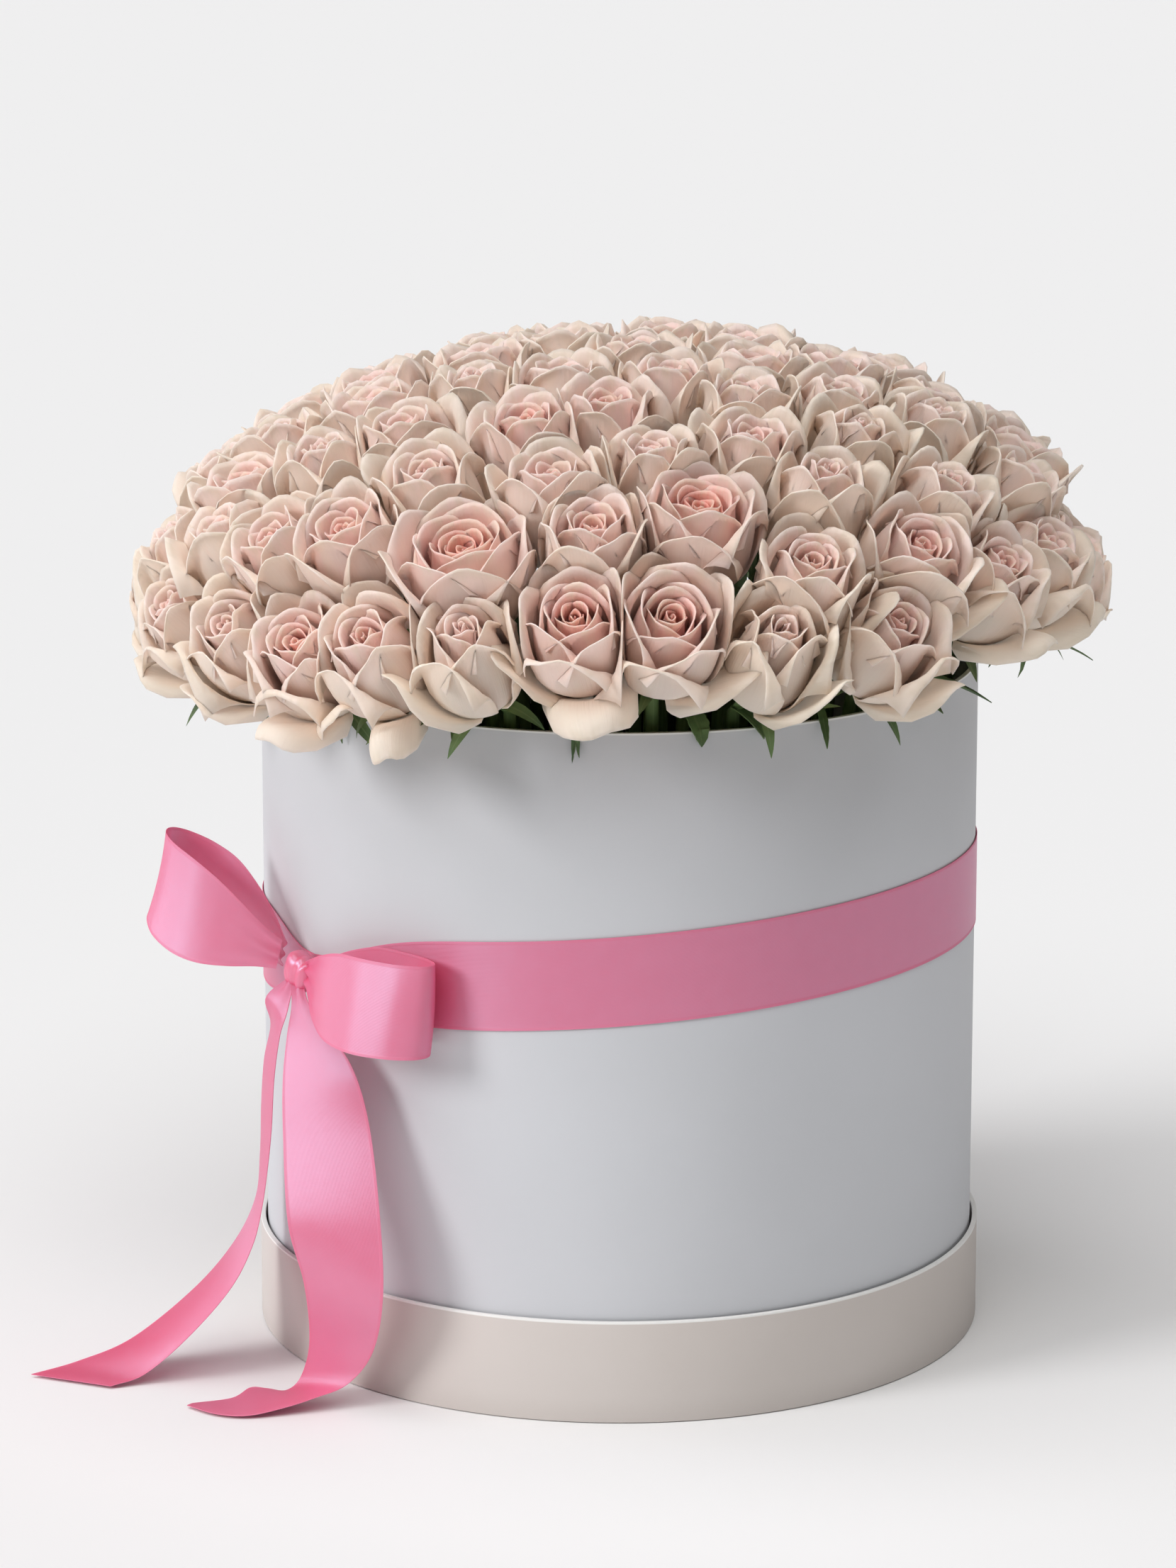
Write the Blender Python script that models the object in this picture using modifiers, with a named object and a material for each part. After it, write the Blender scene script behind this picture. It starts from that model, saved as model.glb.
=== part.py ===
"""Cut pink roses in a round white box: a board cylinder standing in its upturned lid, a ribbon with a bow
tied round it, a tub with a foam block inside, and ninety-one roses stuck in the foam.
Metres, +Z up, the origin in the middle of the underside, the box's front towards -Y."""

import math

import bmesh
import bpy
import numpy as np
from mathutils import Vector

MM = 0.001
GAP = 0.3 * MM
ROUND = 64

# Box and the lid it stands in
BOX_RADIUS = 150.0 * MM
BOARD = 2.0 * MM
RIM_Z = 286.9 * MM
LID_RADIUS = 153.06 * MM
LID_HEIGHT = 42.8 * MM
BOX_FOOT_Z = BOARD + GAP

# Tub and foam inside
TUB_RADIUS = 140.0 * MM
TUB_WALL = 1.5 * MM
TUB_FOOT_Z = BOX_FOOT_Z + BOARD + GAP
TUB_RIM_Z = 232.0 * MM
FOAM_RADIUS = 137.0 * MM
FOAM_TOP_Z = 215.0 * MM

# Ribbon: the band slopes as the plane z = middle + slope x + slope y
RIBBON_WIDTH = 37.0 * MM
RIBBON_THICK = 0.5 * MM
STRIP_THICK = 0.6 * MM
RIBBON_MIDDLE_Z = 179.4 * MM
RIBBON_SLOPE_X = 0.0804
RIBBON_SLOPE_Y = -0.0383
KNOT_TURN = math.radians(-56.3)
KNOT_REACH = 158.5 * MM
KNOT_Z = 172.5 * MM
KNOT_HALF = (7.2 * MM, 6.8 * MM, 8.6 * MM)

# Dome that the crowns of the roses lie on, leaning up a little towards +X
DOME_REACH = 198.0 * MM
DOME_RISE = 98.0 * MM
DOME_Z = 324.0 * MM
DOME_SHIFT = -3.0 * MM
DOME_LEAN = 0.04
LOWEST_ROSE = 0.10
MOST_TILT = 52.0
BACK_PAIRS = 25
APART = 48.0 * MM
PRESSED = 38.0 * MM

# Rose heads and stems
HEAD_LENGTH = 47.0 * MM
HEAD_GAP = 0.8 * MM
HEADS_PRESS = 5.2 * MM
STEM_RADIUS = 2.5 * MM
STEM_FOOT_Z = 150.0 * MM
FOOT_SPREAD = 0.72
NECK = 13.0 * MM
NECK_REACH = 140.5 * MM
NECK_Z = 296.0 * MM
HOLE_RADIUS = 3.4 * MM
# Along a head from its crown to its base: share of its length, share of its radius
HEAD_PROFILE = ((0.0, 0.62), (0.16, 1.0), (0.46, 0.86), (0.78, 0.52), (1.0, 0.24))

# The front roses, two neighbours a line: heading from the front (degrees, towards +X), drop from the
# dome's top (degrees) and head radius (mm). The rest are spread by spread_crowns().
FRONT_PAIRS = (
    ((36, 84, 22), (43, 68, 24)),
    ((-71, 85, 20), (-80, 72, 20)),
    ((-54, 84, 22), (-53, 63, 22)),
    ((-41, 84, 20), (-31, 81, 23)),
    ((20, 82, 20), (26, 67, 21)),
    ((-18, 79, 20), (-21, 59, 26)),
    ((70, 78, 21), (77, 63, 20)),
    ((56, 77, 19), (55, 58, 20)),
    ((-5, 75, 22), (7, 76, 24)),
    ((-41, 58, 23), (-34, 44, 23)),
    ((-93, 57, 21), (-86, 46, 21)),
    ((-3, 55, 20), (-11, 43, 22)),
    ((13, 51, 23), (7, 38, 19)),
    ((35, 49, 21), (28, 37, 21)),
    ((-61, 44, 20), (-52, 34, 22)),
    ((75, 45, 21), (90, 44, 22)),
    ((51, 41, 21), (64, 32, 21)),
    ((-22, 29, 21), (-2, 24, 21)),
    ((27, 15, 20), (41, 25, 20)),
    ((-58, 20, 19), (-29, 13, 23)),
)

# Ribbon loops, from the knot out and back: way along, way out from the wall, width (mm)
LOOP_LEFT = (
    (3.0, 1.6, 11), (12.0, 7.0, 17), (24.0, 11.5, 26), (38.0, 14.0, 35), (50.0, 13.5, 37), (60.0, 10.0, 37),
    (66.0, 4.5, 37), (67.5, -1.5, 37), (65.0, -7.0, 37), (58.0, -11.0, 37), (46.0, -13.0, 37), (34.0, -12.0, 33),
    (22.0, -9.0, 25), (11.0, -5.0, 16), (3.0, -1.6, 11),
)
LOOP_RIGHT = (
    (9.0, 5.0, 11), (18.0, 2.6, 18), (30.0, 1.6, 28), (44.0, 1.4, 36), (58.0, 1.8, 37), (69.0, 4.0, 37),
    (76.0, 9.0, 37), (77.5, 14.0, 37), (74.0, 19.0, 37), (65.0, 23.0, 37), (52.0, 24.5, 37), (38.0, 22.0, 35),
    (26.0, 17.5, 27), (16.0, 12.5, 18), (9.0, 9.5, 11),
)
# Ribbon tails, from the knot to the cut end: the two edges at each station (mm)
TAIL_FRONT = (
    ((-134, -98.5, 160), (-126.5, -104, 161.5)), ((-136, -98, 148), (-118, -109, 152)),
    ((-138, -100, 130), (-108, -115, 137)), ((-138, -104, 109), (-102, -117, 113)),
    ((-136, -113, 74), (-98, -124, 76)), ((-129.5, -118, 49), (-97, -134, 48)),
    ((-127.5, -118, 24), (-101, -136, 25)), ((-131, -119, 8), (-111, -137, 11)),
    ((-137, -120, 2.2), (-124, -141, 6.5)), ((-145, -118, 2.2), (-138, -145, 3.2)),
    ((-152, -118, 2.6), (-152, -148, 1.2)), ((-159, -127, 1.3), (-165, -145, 1.0)),
    ((-175, -132.5, 1.0), (-177, -135, 1.0)),
)
TAIL_LEFT = (
    ((-142.5, -92.5, 160), (-138.5, -99, 160)), ((-143.5, -83, 148), (-141.5, -101, 148)),
    ((-147, -72, 130), (-144, -101, 130)), ((-149, -62, 108), (-145, -98, 108)),
    ((-150, -57, 86), (-145, -93.5, 90)), ((-152, -57, 66), (-147.5, -94, 73)),
    ((-160.5, -61, 48), (-151.5, -97, 57)), ((-177, -70, 30), (-160.5, -102, 40)),
    ((-203, -80, 11), (-178, -105, 20)), ((-225, -88, 3.6), (-196, -107, 4.6)),
    ((-244, -97.5, 1.0), (-210, -112, 1.0)),
)


def on_dome(unit):
    x = DOME_SHIFT + DOME_REACH * unit[:, 0]
    return np.stack([x, DOME_REACH * unit[:, 1], DOME_Z + DOME_LEAN * x + DOME_RISE * unit[:, 2]], 1)

def kept_on_dome(points):
    """The points put back on the dome, none lower than its lowest row."""
    unit = np.stack([(points[:, 0] - DOME_SHIFT) / DOME_REACH, points[:, 1] / DOME_REACH,
                     (points[:, 2] - DOME_LEAN * points[:, 0] - DOME_Z) / DOME_RISE], 1)
    unit /= np.linalg.norm(unit, axis=1)[:, None]
    unit[:, 2] = np.maximum(unit[:, 2], LOWEST_ROSE)
    flat = np.sqrt(1 - unit[:, 2] ** 2) / np.hypot(unit[:, 0], unit[:, 1])
    unit[:, :2] *= flat[:, None]
    return on_dome(unit)

def spread_crowns():
    """Crowns of all roses: the top one, the front pairs as placed, then pairs spread over the rest."""
    turns = np.radians([(h, d) for pair in FRONT_PAIRS for h, d, _ in pair])
    placed = np.stack([np.sin(turns[:, 1]) * np.sin(turns[:, 0]), -np.sin(turns[:, 1]) * np.cos(turns[:, 0]),
                       np.cos(turns[:, 1])], 1)
    crowns = on_dome(np.vstack([[(0.05, -0.01, 0.9987)], placed]))
    fixed = len(crowns)
    count = 900
    steps = np.arange(count)
    level = 1 - (1 - LOWEST_ROSE) * (steps + 0.5) / count
    angle = steps * math.pi * (3 - math.sqrt(5))
    wide = np.sqrt(1 - level ** 2)
    free = on_dome(np.stack([wide * np.cos(angle), wide * np.sin(angle), level], 1))
    for _ in range(BACK_PAIRS):
        near = np.linalg.norm(free[:, None] - crowns[None], axis=2).min(1)
        centre = free[near.argmax()]
        side = np.array([-centre[1], centre[0], 0.0])
        side *= 0.5 * PRESSED / np.linalg.norm(side)
        crowns = np.vstack([crowns, centre - side, centre + side])
    total = len(crowns)
    wanted = np.full((total, total), APART)
    partner = np.zeros((total, total), bool)
    for k in range(1, total, 2):
        partner[k, k + 1] = partner[k + 1, k] = True
    wanted[partner] = PRESSED
    for _ in range(1200):
        gap = crowns[:, None] - crowns[None]
        far = np.linalg.norm(gap, axis=2) + np.eye(total)
        push = np.where(partner, wanted - far, np.clip(wanted - far, 0, None))
        move = (gap / far[..., None] * push[..., None]).sum(1)
        move[:fixed] = 0
        crowns = np.vstack([crowns[:fixed], kept_on_dome(crowns + 0.15 * move)[fixed:]])
    return crowns

def rose_axes(crowns):
    """Each head leans out with the dome but stands more upright than it, with a little unevenness."""
    level = (crowns[:, 2] - DOME_LEAN * crowns[:, 0] - DOME_Z) / DOME_RISE ** 2
    out = np.stack([(crowns[:, 0] - DOME_SHIFT) / DOME_REACH ** 2 - DOME_LEAN * level,
                    crowns[:, 1] / DOME_REACH ** 2, level], 1)
    out /= np.linalg.norm(out, axis=1)[:, None]
    steps = np.arange(len(crowns))
    tilt = np.degrees(np.arccos(out[:, 2]))
    tilt = np.radians(MOST_TILT * np.tanh(tilt / (1.2 * MOST_TILT)) + 4 * np.sin(steps * 12.9898))
    heading = np.arctan2(out[:, 1], out[:, 0]) + np.radians(6) * np.sin(steps * 78.233)
    return np.stack([np.sin(tilt) * np.cos(heading), np.sin(tilt) * np.sin(heading), np.cos(tilt)], 1)

def crowded(crowns, axes, radii, i, j, gap):
    """How far head i reaches into head j, both drawn as turned profiles, with gap added."""
    shares = np.linspace(0, 1, 14)
    angles = np.linspace(0, 2 * math.pi, 16, endpoint=False)
    known, sizes = zip(*HEAD_PROFILE)
    u = np.cross(axes[i], (0.3, 0.2, 1.0) if abs(axes[i][2]) < 0.9 else (1.0, 0.0, 0.0))
    u /= np.linalg.norm(u)
    v = np.cross(axes[i], u)
    rim = np.cos(angles)[:, None] * u + np.sin(angles)[:, None] * v
    size = np.interp(shares, known, sizes) * radii[i]
    skin = crowns[i] - axes[i] * (shares * HEAD_LENGTH)[:, None, None] + size[:, None, None] * rim[None]
    away = crowns[j] - skin
    depth = away @ axes[j]
    reach = np.linalg.norm(away - depth[..., None] * axes[j], axis=2)
    inside = np.interp(depth / HEAD_LENGTH, known, sizes) * radii[j] + gap - reach
    inside[(depth < -gap) | (depth > HEAD_LENGTH + gap)] = -1
    return inside.max()

def rose_radii(crowns, axes):
    """Head radii: as placed, drawn in until neighbours clear, then partners let out until they press together."""
    total = len(crowns)
    radii = np.full(total, 0.0235)
    radii[1:1 + 2 * len(FRONT_PAIRS)] = [r * 0.001 for pair in FRONT_PAIRS for _, _, r in pair]
    near = np.linalg.norm(crowns[:, None] - crowns[None], axis=2) < 0.062
    partner = [0] + [k + 1 if k % 2 else k - 1 for k in range(1, total)]
    others = [[j for j in range(total) if near[i, j] and j not in (i, partner[i])] for i in range(total)]

    def touching(i):
        return any(max(crowded(crowns, axes, radii, i, j, HEAD_GAP), crowded(crowns, axes, radii, j, i, HEAD_GAP)) > 0
                   for j in others[i])

    for _ in range(60):
        tight = [i for i in range(total) if touching(i)]
        if not tight:
            break
        radii[tight] *= 0.985
    for k in range(1, total, 2):
        for _ in range(60):
            if crowded(crowns, axes, radii, k, k + 1, 0.0) > HEADS_PRESS:
                break
            smaller = k if radii[k] < radii[k + 1] else k + 1
            for grown in (smaller, partner[smaller]):
                radii[grown] *= 1.012
                if not touching(grown):
                    break
                radii[grown] /= 1.012
            else:
                break
    return radii


def clear_scene():
    for item in list(bpy.data.objects):
        bpy.data.objects.remove(item, do_unlink=True)


def new_collection(name):
    made = bpy.data.collections.new(name)
    bpy.context.scene.collection.children.link(made)
    return made


def material(name, colour, roughness):
    made = bpy.data.materials.new(name)
    made.use_nodes = True
    made.diffuse_color = (*colour, 1.0)
    shader = made.node_tree.nodes["Principled BSDF"]
    shader.inputs["Base Color"].default_value = (*colour, 1.0)
    shader.inputs["Roughness"].default_value = roughness
    shader.inputs["Metallic"].default_value = 0.0
    return made


def place(item, name, finish, collection, parent=None):
    """Names the object, gives it its material, and files it."""
    item.name = name
    if finish:
        item.data.materials.append(finish)
    for owner in list(item.users_collection):
        owner.objects.unlink(item)
    collection.objects.link(item)
    item.parent = parent
    return item


def turned(name, profile, closed, finish, collection, parent):
    """A profile of (radius, z) points, down the outer side, turned about Z."""
    count = len(profile)
    edges = [(k, (k + 1) % count) for k in range(count if closed else count - 1)]
    mesh = bpy.data.meshes.new(name)
    mesh.from_pydata([(radius, 0.0, z) for radius, z in profile], edges, [])
    item = place(bpy.data.objects.new(name, mesh), name, finish, collection, parent)
    screw = item.modifiers.new("turn", "SCREW")
    screw.steps = ROUND
    screw.render_steps = ROUND
    screw.use_merge_vertices = True
    screw.merge_threshold = 0.00001
    screw.use_smooth_shade = True
    return item


def tube_profile(outer, inner, low, high):
    return ((outer, high), (outer, low), (inner, low), (inner, high))


def disc(name, radius, low, high, finish, collection, parent):
    bpy.ops.mesh.primitive_cylinder_add(vertices=ROUND, radius=radius, depth=high - low,
                                        location=(0.0, 0.0, 0.5 * (low + high)))
    return place(bpy.context.object, name, finish, collection, parent)


def boolean(item, operation, other):
    made = item.modifiers.new(other.name, "BOOLEAN")
    made.operation = operation
    made.solver = "EXACT"
    made.object = other
    other.hide_render = True
    other.display_type = "WIRE"


def rods(name, routes, finish, collection, parent=None):
    """Round rods of changing thickness: routes of (point, radius), made one mesh with welded caps."""
    curve = bpy.data.curves.new(name, "CURVE")
    curve.dimensions = "3D"
    curve.bevel_depth = MM
    curve.bevel_resolution = 2
    curve.use_fill_caps = True
    for route in routes:
        spline = curve.splines.new("POLY")
        spline.points.add(len(route) - 1)
        for point, (centre, radius) in zip(spline.points, route):
            point.co = (*centre, 1.0)
            point.radius = radius / MM
    guide = bpy.data.objects.new(name + "_curve", curve)
    bpy.context.scene.collection.objects.link(guide)
    graph = bpy.context.evaluated_depsgraph_get()
    mesh = bpy.data.meshes.new_from_object(guide.evaluated_get(graph))
    item = bpy.data.objects.new(name, mesh)
    item.matrix_world = guide.matrix_world
    bpy.data.objects.remove(guide, do_unlink=True)
    bm = bmesh.new()
    bm.from_mesh(mesh)
    bmesh.ops.remove_doubles(bm, verts=bm.verts[:], dist=0.00001)
    bmesh.ops.recalc_face_normals(bm, faces=bm.faces[:])
    bm.to_mesh(mesh)
    bm.free()
    mesh.materials.clear()
    return place(item, name, finish, collection, parent)


def rose_line(crown, axis):
    """Base of the head, neck of the stem and its foot in the foam."""
    base = Vector(crown) - Vector(axis) * HEAD_LENGTH
    neck = base - Vector(axis) * NECK
    drawn_in = min(1.0, NECK_REACH / max(math.hypot(neck.x, neck.y), MM))
    neck = Vector((neck.x * drawn_in, neck.y * drawn_in, neck.z if drawn_in == 1.0 else max(neck.z, NECK_Z)))
    foot = Vector((base.x * FOOT_SPREAD, base.y * FOOT_SPREAD, STEM_FOOT_Z))
    return base, neck, foot


def rose_route(crown, axis, radius):
    neck, foot = rose_line(crown, axis)[1:]
    route = [(foot, STEM_RADIUS), (neck, STEM_RADIUS * 1.1)]
    for share, size in reversed(HEAD_PROFILE):
        route.append((Vector(crown) - Vector(axis) * (HEAD_LENGTH * share), radius * size))
    return route


def hole_route(crown, axis):
    neck, foot = rose_line(crown, axis)[1:]
    way = (neck - foot) / (neck.z - foot.z)
    return [(foot - way * 0.001, HOLE_RADIUS), (foot + way * (FOAM_TOP_Z - foot.z + 0.005), HOLE_RADIUS)]


def strip(name, edges, finish, collection, parent):
    """Ribbon between two edges: a grid one cell wide, moved to the stations and given its thickness."""
    bpy.ops.mesh.primitive_grid_add(x_subdivisions=1, y_subdivisions=len(edges) - 1, size=1.0)
    item = place(bpy.context.object, name, finish, collection, parent)
    for vertex in item.data.vertices:
        station = round((vertex.co.y + 0.5) * (len(edges) - 1))
        vertex.co = edges[station][0 if vertex.co.x < 0 else 1]
    skin = item.modifiers.new("thickness", "SOLIDIFY")
    skin.thickness = STRIP_THICK
    skin.offset = 0.0
    return item


def loop_left_edges():
    """The loop stands out from the knot, away from the wall and up."""
    start = Vector((-136.5, -83.5, 176.5)) * MM
    along = Vector((-57.0, 33.0, 30.0)).normalized()
    across = (Vector((0.0, 0.0, 1.0)) - along * along.z).normalized()
    apart = along.cross(across)
    edges = []
    for way, out, width in LOOP_LEFT:
        middle = start + (along * way + apart * out) * MM
        edges.append((middle + across * (0.5 * width * MM), middle - across * (0.5 * width * MM)))
    return edges


def loop_right_edges():
    """The loop lies along the wall, its back layer against the band."""
    edges = []
    for way, out, width in LOOP_RIGHT:
        angle = KNOT_TURN + way / 155.0
        reach = BOX_RADIUS + (1.2 + out) * MM
        middle = Vector((math.sin(angle) * reach, -math.cos(angle) * reach, (173.0 - 0.02 * way) * MM))
        half = Vector((0.0, 0.0, 0.5 * width * MM))
        edges.append((middle + half, middle - half))
    return edges


def tail_edges(stations):
    return [(Vector(left) * MM, Vector(right) * MM) for left, right in stations]


def build():
    clear_scene()
    board = material("white_board", (0.82, 0.82, 0.84), 0.6)
    plastic = material("tub_plastic", (0.05, 0.07, 0.05), 0.5)
    foam = material("wet_foam", (0.05, 0.16, 0.07), 0.9)
    satin = material("pink_satin", (0.89, 0.27, 0.42), 0.35)
    petal = material("rose_petal", (0.88, 0.68, 0.63), 0.6)

    parts = new_collection("pink_roses_in_a_white_box")
    cutters = new_collection("cutters")
    lid = place(bpy.data.objects.new("lid", None), "lid", None, parts)
    box = place(bpy.data.objects.new("box", None), "box", None, parts)

    inner = LID_RADIUS - BOARD
    turned("lid_rim", tube_profile(LID_RADIUS, inner, 0.0, LID_HEIGHT), True, board, parts, lid)
    disc("lid_panel", inner - GAP, 0.0, BOARD, board, parts, lid)
    inner = BOX_RADIUS - BOARD
    turned("box_wall", tube_profile(BOX_RADIUS, inner, BOX_FOOT_Z, RIM_Z), True, board, parts, box)
    disc("box_base", inner - GAP, BOX_FOOT_Z, BOX_FOOT_Z + BOARD, board, parts, box)
    inner = TUB_RADIUS - TUB_WALL
    floor = TUB_FOOT_Z + TUB_WALL
    turned("liner_tub", ((0.0, floor), (inner, floor), (inner, TUB_RIM_Z), (TUB_RADIUS, TUB_RIM_Z),
                         (TUB_RADIUS, TUB_FOOT_Z), (0.0, TUB_FOOT_Z)), False, plastic, parts, box)

    crowns = spread_crowns()
    axes = rose_axes(crowns)
    radii = rose_radii(crowns, axes)
    block = disc("foam_block", FOAM_RADIUS, floor + GAP, FOAM_TOP_Z, foam, parts, box)
    holes = [hole_route(crown, axis) for crown, axis in zip(crowns, axes)]
    boolean(block, "DIFFERENCE", rods("stem_holes", holes, None, cutters))

    inner = BOX_RADIUS + GAP
    slope = Vector((-RIBBON_SLOPE_X, -RIBBON_SLOPE_Y, 1.0)).normalized()
    band = turned("ribbon_band", tube_profile(inner + RIBBON_THICK, inner, 0.10, 0.26), True, satin, parts, box)
    slab = disc("band_slab", 0.17, 0.0, RIBBON_WIDTH * slope.z, None, cutters, None)
    slab.location.z = RIBBON_MIDDLE_Z
    slab.rotation_mode = "QUATERNION"
    slab.rotation_quaternion = Vector((0.0, 0.0, 1.0)).rotation_difference(slope)
    boolean(band, "INTERSECT", slab)

    middle = (math.sin(KNOT_TURN) * KNOT_REACH, -math.cos(KNOT_TURN) * KNOT_REACH, KNOT_Z)
    bpy.ops.mesh.primitive_uv_sphere_add(segments=14, ring_count=8, radius=1.0, location=middle,
                                         rotation=(0.0, 0.0, KNOT_TURN))
    knot = place(bpy.context.object, "bow_knot", satin, parts, box)
    knot.scale = KNOT_HALF
    strip("bow_loop_left", loop_left_edges(), satin, parts, box)
    strip("bow_loop_right", loop_right_edges(), satin, parts, box)
    strip("ribbon_tail_front", tail_edges(TAIL_FRONT), satin, parts, box)
    strip("ribbon_tail_left", tail_edges(TAIL_LEFT), satin, parts, box)

    routes = [rose_route(crown, axis, radius) for crown, axis, radius in zip(crowns, axes, radii)]
    rods("rose_top", [routes[0]], petal, parts, box)
    for k in range(1, len(routes), 2):
        number = "%02d" % ((k + 1) // 2)
        pair = rods("rose_pair_" + number, [routes[k]], petal, parts, box)
        boolean(pair, "UNION", rods("partner_" + number, [routes[k + 1]], petal, cutters))


build()
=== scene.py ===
"""Pink roses in a round white box tied with a satin ribbon: the looks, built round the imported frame."""

import math

import bpy
import numpy as np
from mathutils import Matrix, Vector


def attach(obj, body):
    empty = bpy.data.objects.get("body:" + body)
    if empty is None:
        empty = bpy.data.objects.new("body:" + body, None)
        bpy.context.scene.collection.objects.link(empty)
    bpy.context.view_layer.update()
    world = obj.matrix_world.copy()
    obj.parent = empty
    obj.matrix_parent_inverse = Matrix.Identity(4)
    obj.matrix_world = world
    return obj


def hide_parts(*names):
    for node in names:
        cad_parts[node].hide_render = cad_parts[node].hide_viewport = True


MM = 0.001
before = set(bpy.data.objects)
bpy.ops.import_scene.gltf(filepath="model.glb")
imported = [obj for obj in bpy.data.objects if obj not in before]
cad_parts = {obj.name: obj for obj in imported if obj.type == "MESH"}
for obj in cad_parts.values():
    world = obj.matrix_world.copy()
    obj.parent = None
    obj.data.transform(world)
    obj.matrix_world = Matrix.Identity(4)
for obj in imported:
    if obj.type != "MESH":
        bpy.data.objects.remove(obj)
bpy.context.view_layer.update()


# Box, lid and ribbon, as the frame has them (mm). A turn or heading is 0 at the front and grows towards +X.
RIM_Z = 286.9
BOX_RADIUS = 150.0
BOARD = 2.0
BOARD_EDGE = 0.55
BOX_FOOT_Z = 2.3
LID_RADIUS = 153.06
LID_HEIGHT = 42.8
ROUND = 256
RIBBON_WIDTH = 37.0
RIBBON_MIDDLE_Z = 179.4
RIBBON_SLOPE_X = 0.0804
RIBBON_SLOPE_Y = -0.0383
RIBBON_REACH = 150.55
RIBBON_THICK = 0.28
HALF_RIBBON_CM = 1.85
FLAT = "flat"
KNOT_TURN = math.radians(-56.3)
KNOT_REACH = 158.5
KNOT_Z = 172.5
LAP_TURN = math.radians(152.0)
# How far the band's lower and upper edges close in at the knot, and how far a loop's front layer leans (mm)
BAND_LIFT = 9.0
BAND_DROP = 13.0
LOOP_LEAN = 5.0

# Dome of rose crowns
DOME_REACH = 198.0 * MM
DOME_RISE = 98.0 * MM
DOME_Z = 324.0 * MM
DOME_SHIFT = -3.0 * MM
DOME_LEAN = 0.04
LOWEST_ROSE = 0.10
MOST_TILT = 52.0
BACK_PAIRS = 25
APART = 48.0 * MM
PRESSED = 38.0 * MM
HEAD_LENGTH = 47.0
HEAD_TALL = 47.0
NEIGHBOUR = 66.0
PETALS_OUT = 3.0
PETAL_THICK = 0.45
LEAF_THICK = 0.35
STEM_RADIUS = 2.5
STEM_FOOT_Z = 150.0
FOOT_SPREAD = 0.72
NECK = 13.0
NECK_REACH = 140.5
NECK_Z = 296.0

# The front roses, two neighbours a line: heading from the front and drop from the top (degrees),
# radius (mm), how open it is, how pink it is
FRONT_PAIRS = (
    ((36, 84, 22, 0.45, 0.45), (43, 68, 24, 0.60, 0.60)),
    ((-71, 85, 20, 0.50, 0.35), (-80, 72, 20, 0.30, 0.20)),
    ((-54, 84, 22, 0.40, 0.30), (-53, 63, 22, 0.50, 0.60)),
    ((-41, 84, 20, 0.70, 0.75), (-31, 81, 23, 0.35, 0.60)),
    ((20, 82, 20, 0.05, 0.05), (26, 67, 21, 0.60, 0.50)),
    ((-18, 79, 20, 0.20, 0.25), (-21, 59, 26, 1.00, 1.00)),
    ((70, 78, 21, 0.40, 0.40), (77, 63, 20, 0.40, 0.40)),
    ((56, 77, 19, 0.50, 0.60), (55, 58, 20, 0.30, 0.40)),
    ((-5, 75, 22, 0.75, 0.85), (7, 76, 24, 0.75, 0.70)),
    ((-41, 58, 23, 0.70, 0.70), (-34, 44, 23, 0.40, 0.40)),
    ((-93, 57, 21, 0.40, 0.30), (-86, 46, 21, 0.40, 0.35)),
    ((-3, 55, 20, 0.75, 0.60), (-11, 43, 22, 0.50, 0.50)),
    ((13, 51, 23, 1.00, 1.00), (7, 38, 19, 0.40, 0.40)),
    ((35, 49, 21, 0.25, 0.35), (28, 37, 21, 0.40, 0.50)),
    ((-61, 44, 20, 0.30, 0.40), (-52, 34, 22, 0.40, 0.50)),
    ((75, 45, 21, 0.30, 0.20), (90, 44, 22, 0.40, 0.35)),
    ((51, 41, 21, 0.10, 0.10), (64, 32, 21, 0.40, 0.30)),
    ((-22, 29, 21, 0.50, 0.90), (-2, 24, 21, 0.40, 0.80)),
    ((27, 15, 20, 0.40, 0.60), (41, 25, 20, 0.40, 0.40)),
    ((-58, 20, 19, 0.30, 0.30), (-29, 13, 23, 0.40, 0.40)),
)
# Guard petals that hang away from a head: heading and drop of its rose, then for each petal the way it
# faces round the head (degrees from downhill, towards +X), how far it hangs (degrees), its width (mm)
GUARD_PETALS = {
    (-5, 75): ((16, 104, 23), (-60, 30, 20)),
    (7, 76): ((64, 44, 24),),
    (-41, 84): ((-8, 84, 19), (50, 60, 17)),
    (-31, 81): ((24, 112, 12),),
    (-18, 79): ((-52, 40, 18),),
    (43, 68): ((52, 40, 24),),
    (26, 67): ((56, 36, 20),),
    (56, 77): ((14, 70, 22),),
    (70, 78): ((34, 74, 20),),
    (36, 84): ((30, 40, 18),),
    (-54, 84): ((-24, 40, 20),),
    (-71, 85): ((-30, 46, 20),),
    (20, 82): ((40, 30, 18),),
}

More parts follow.
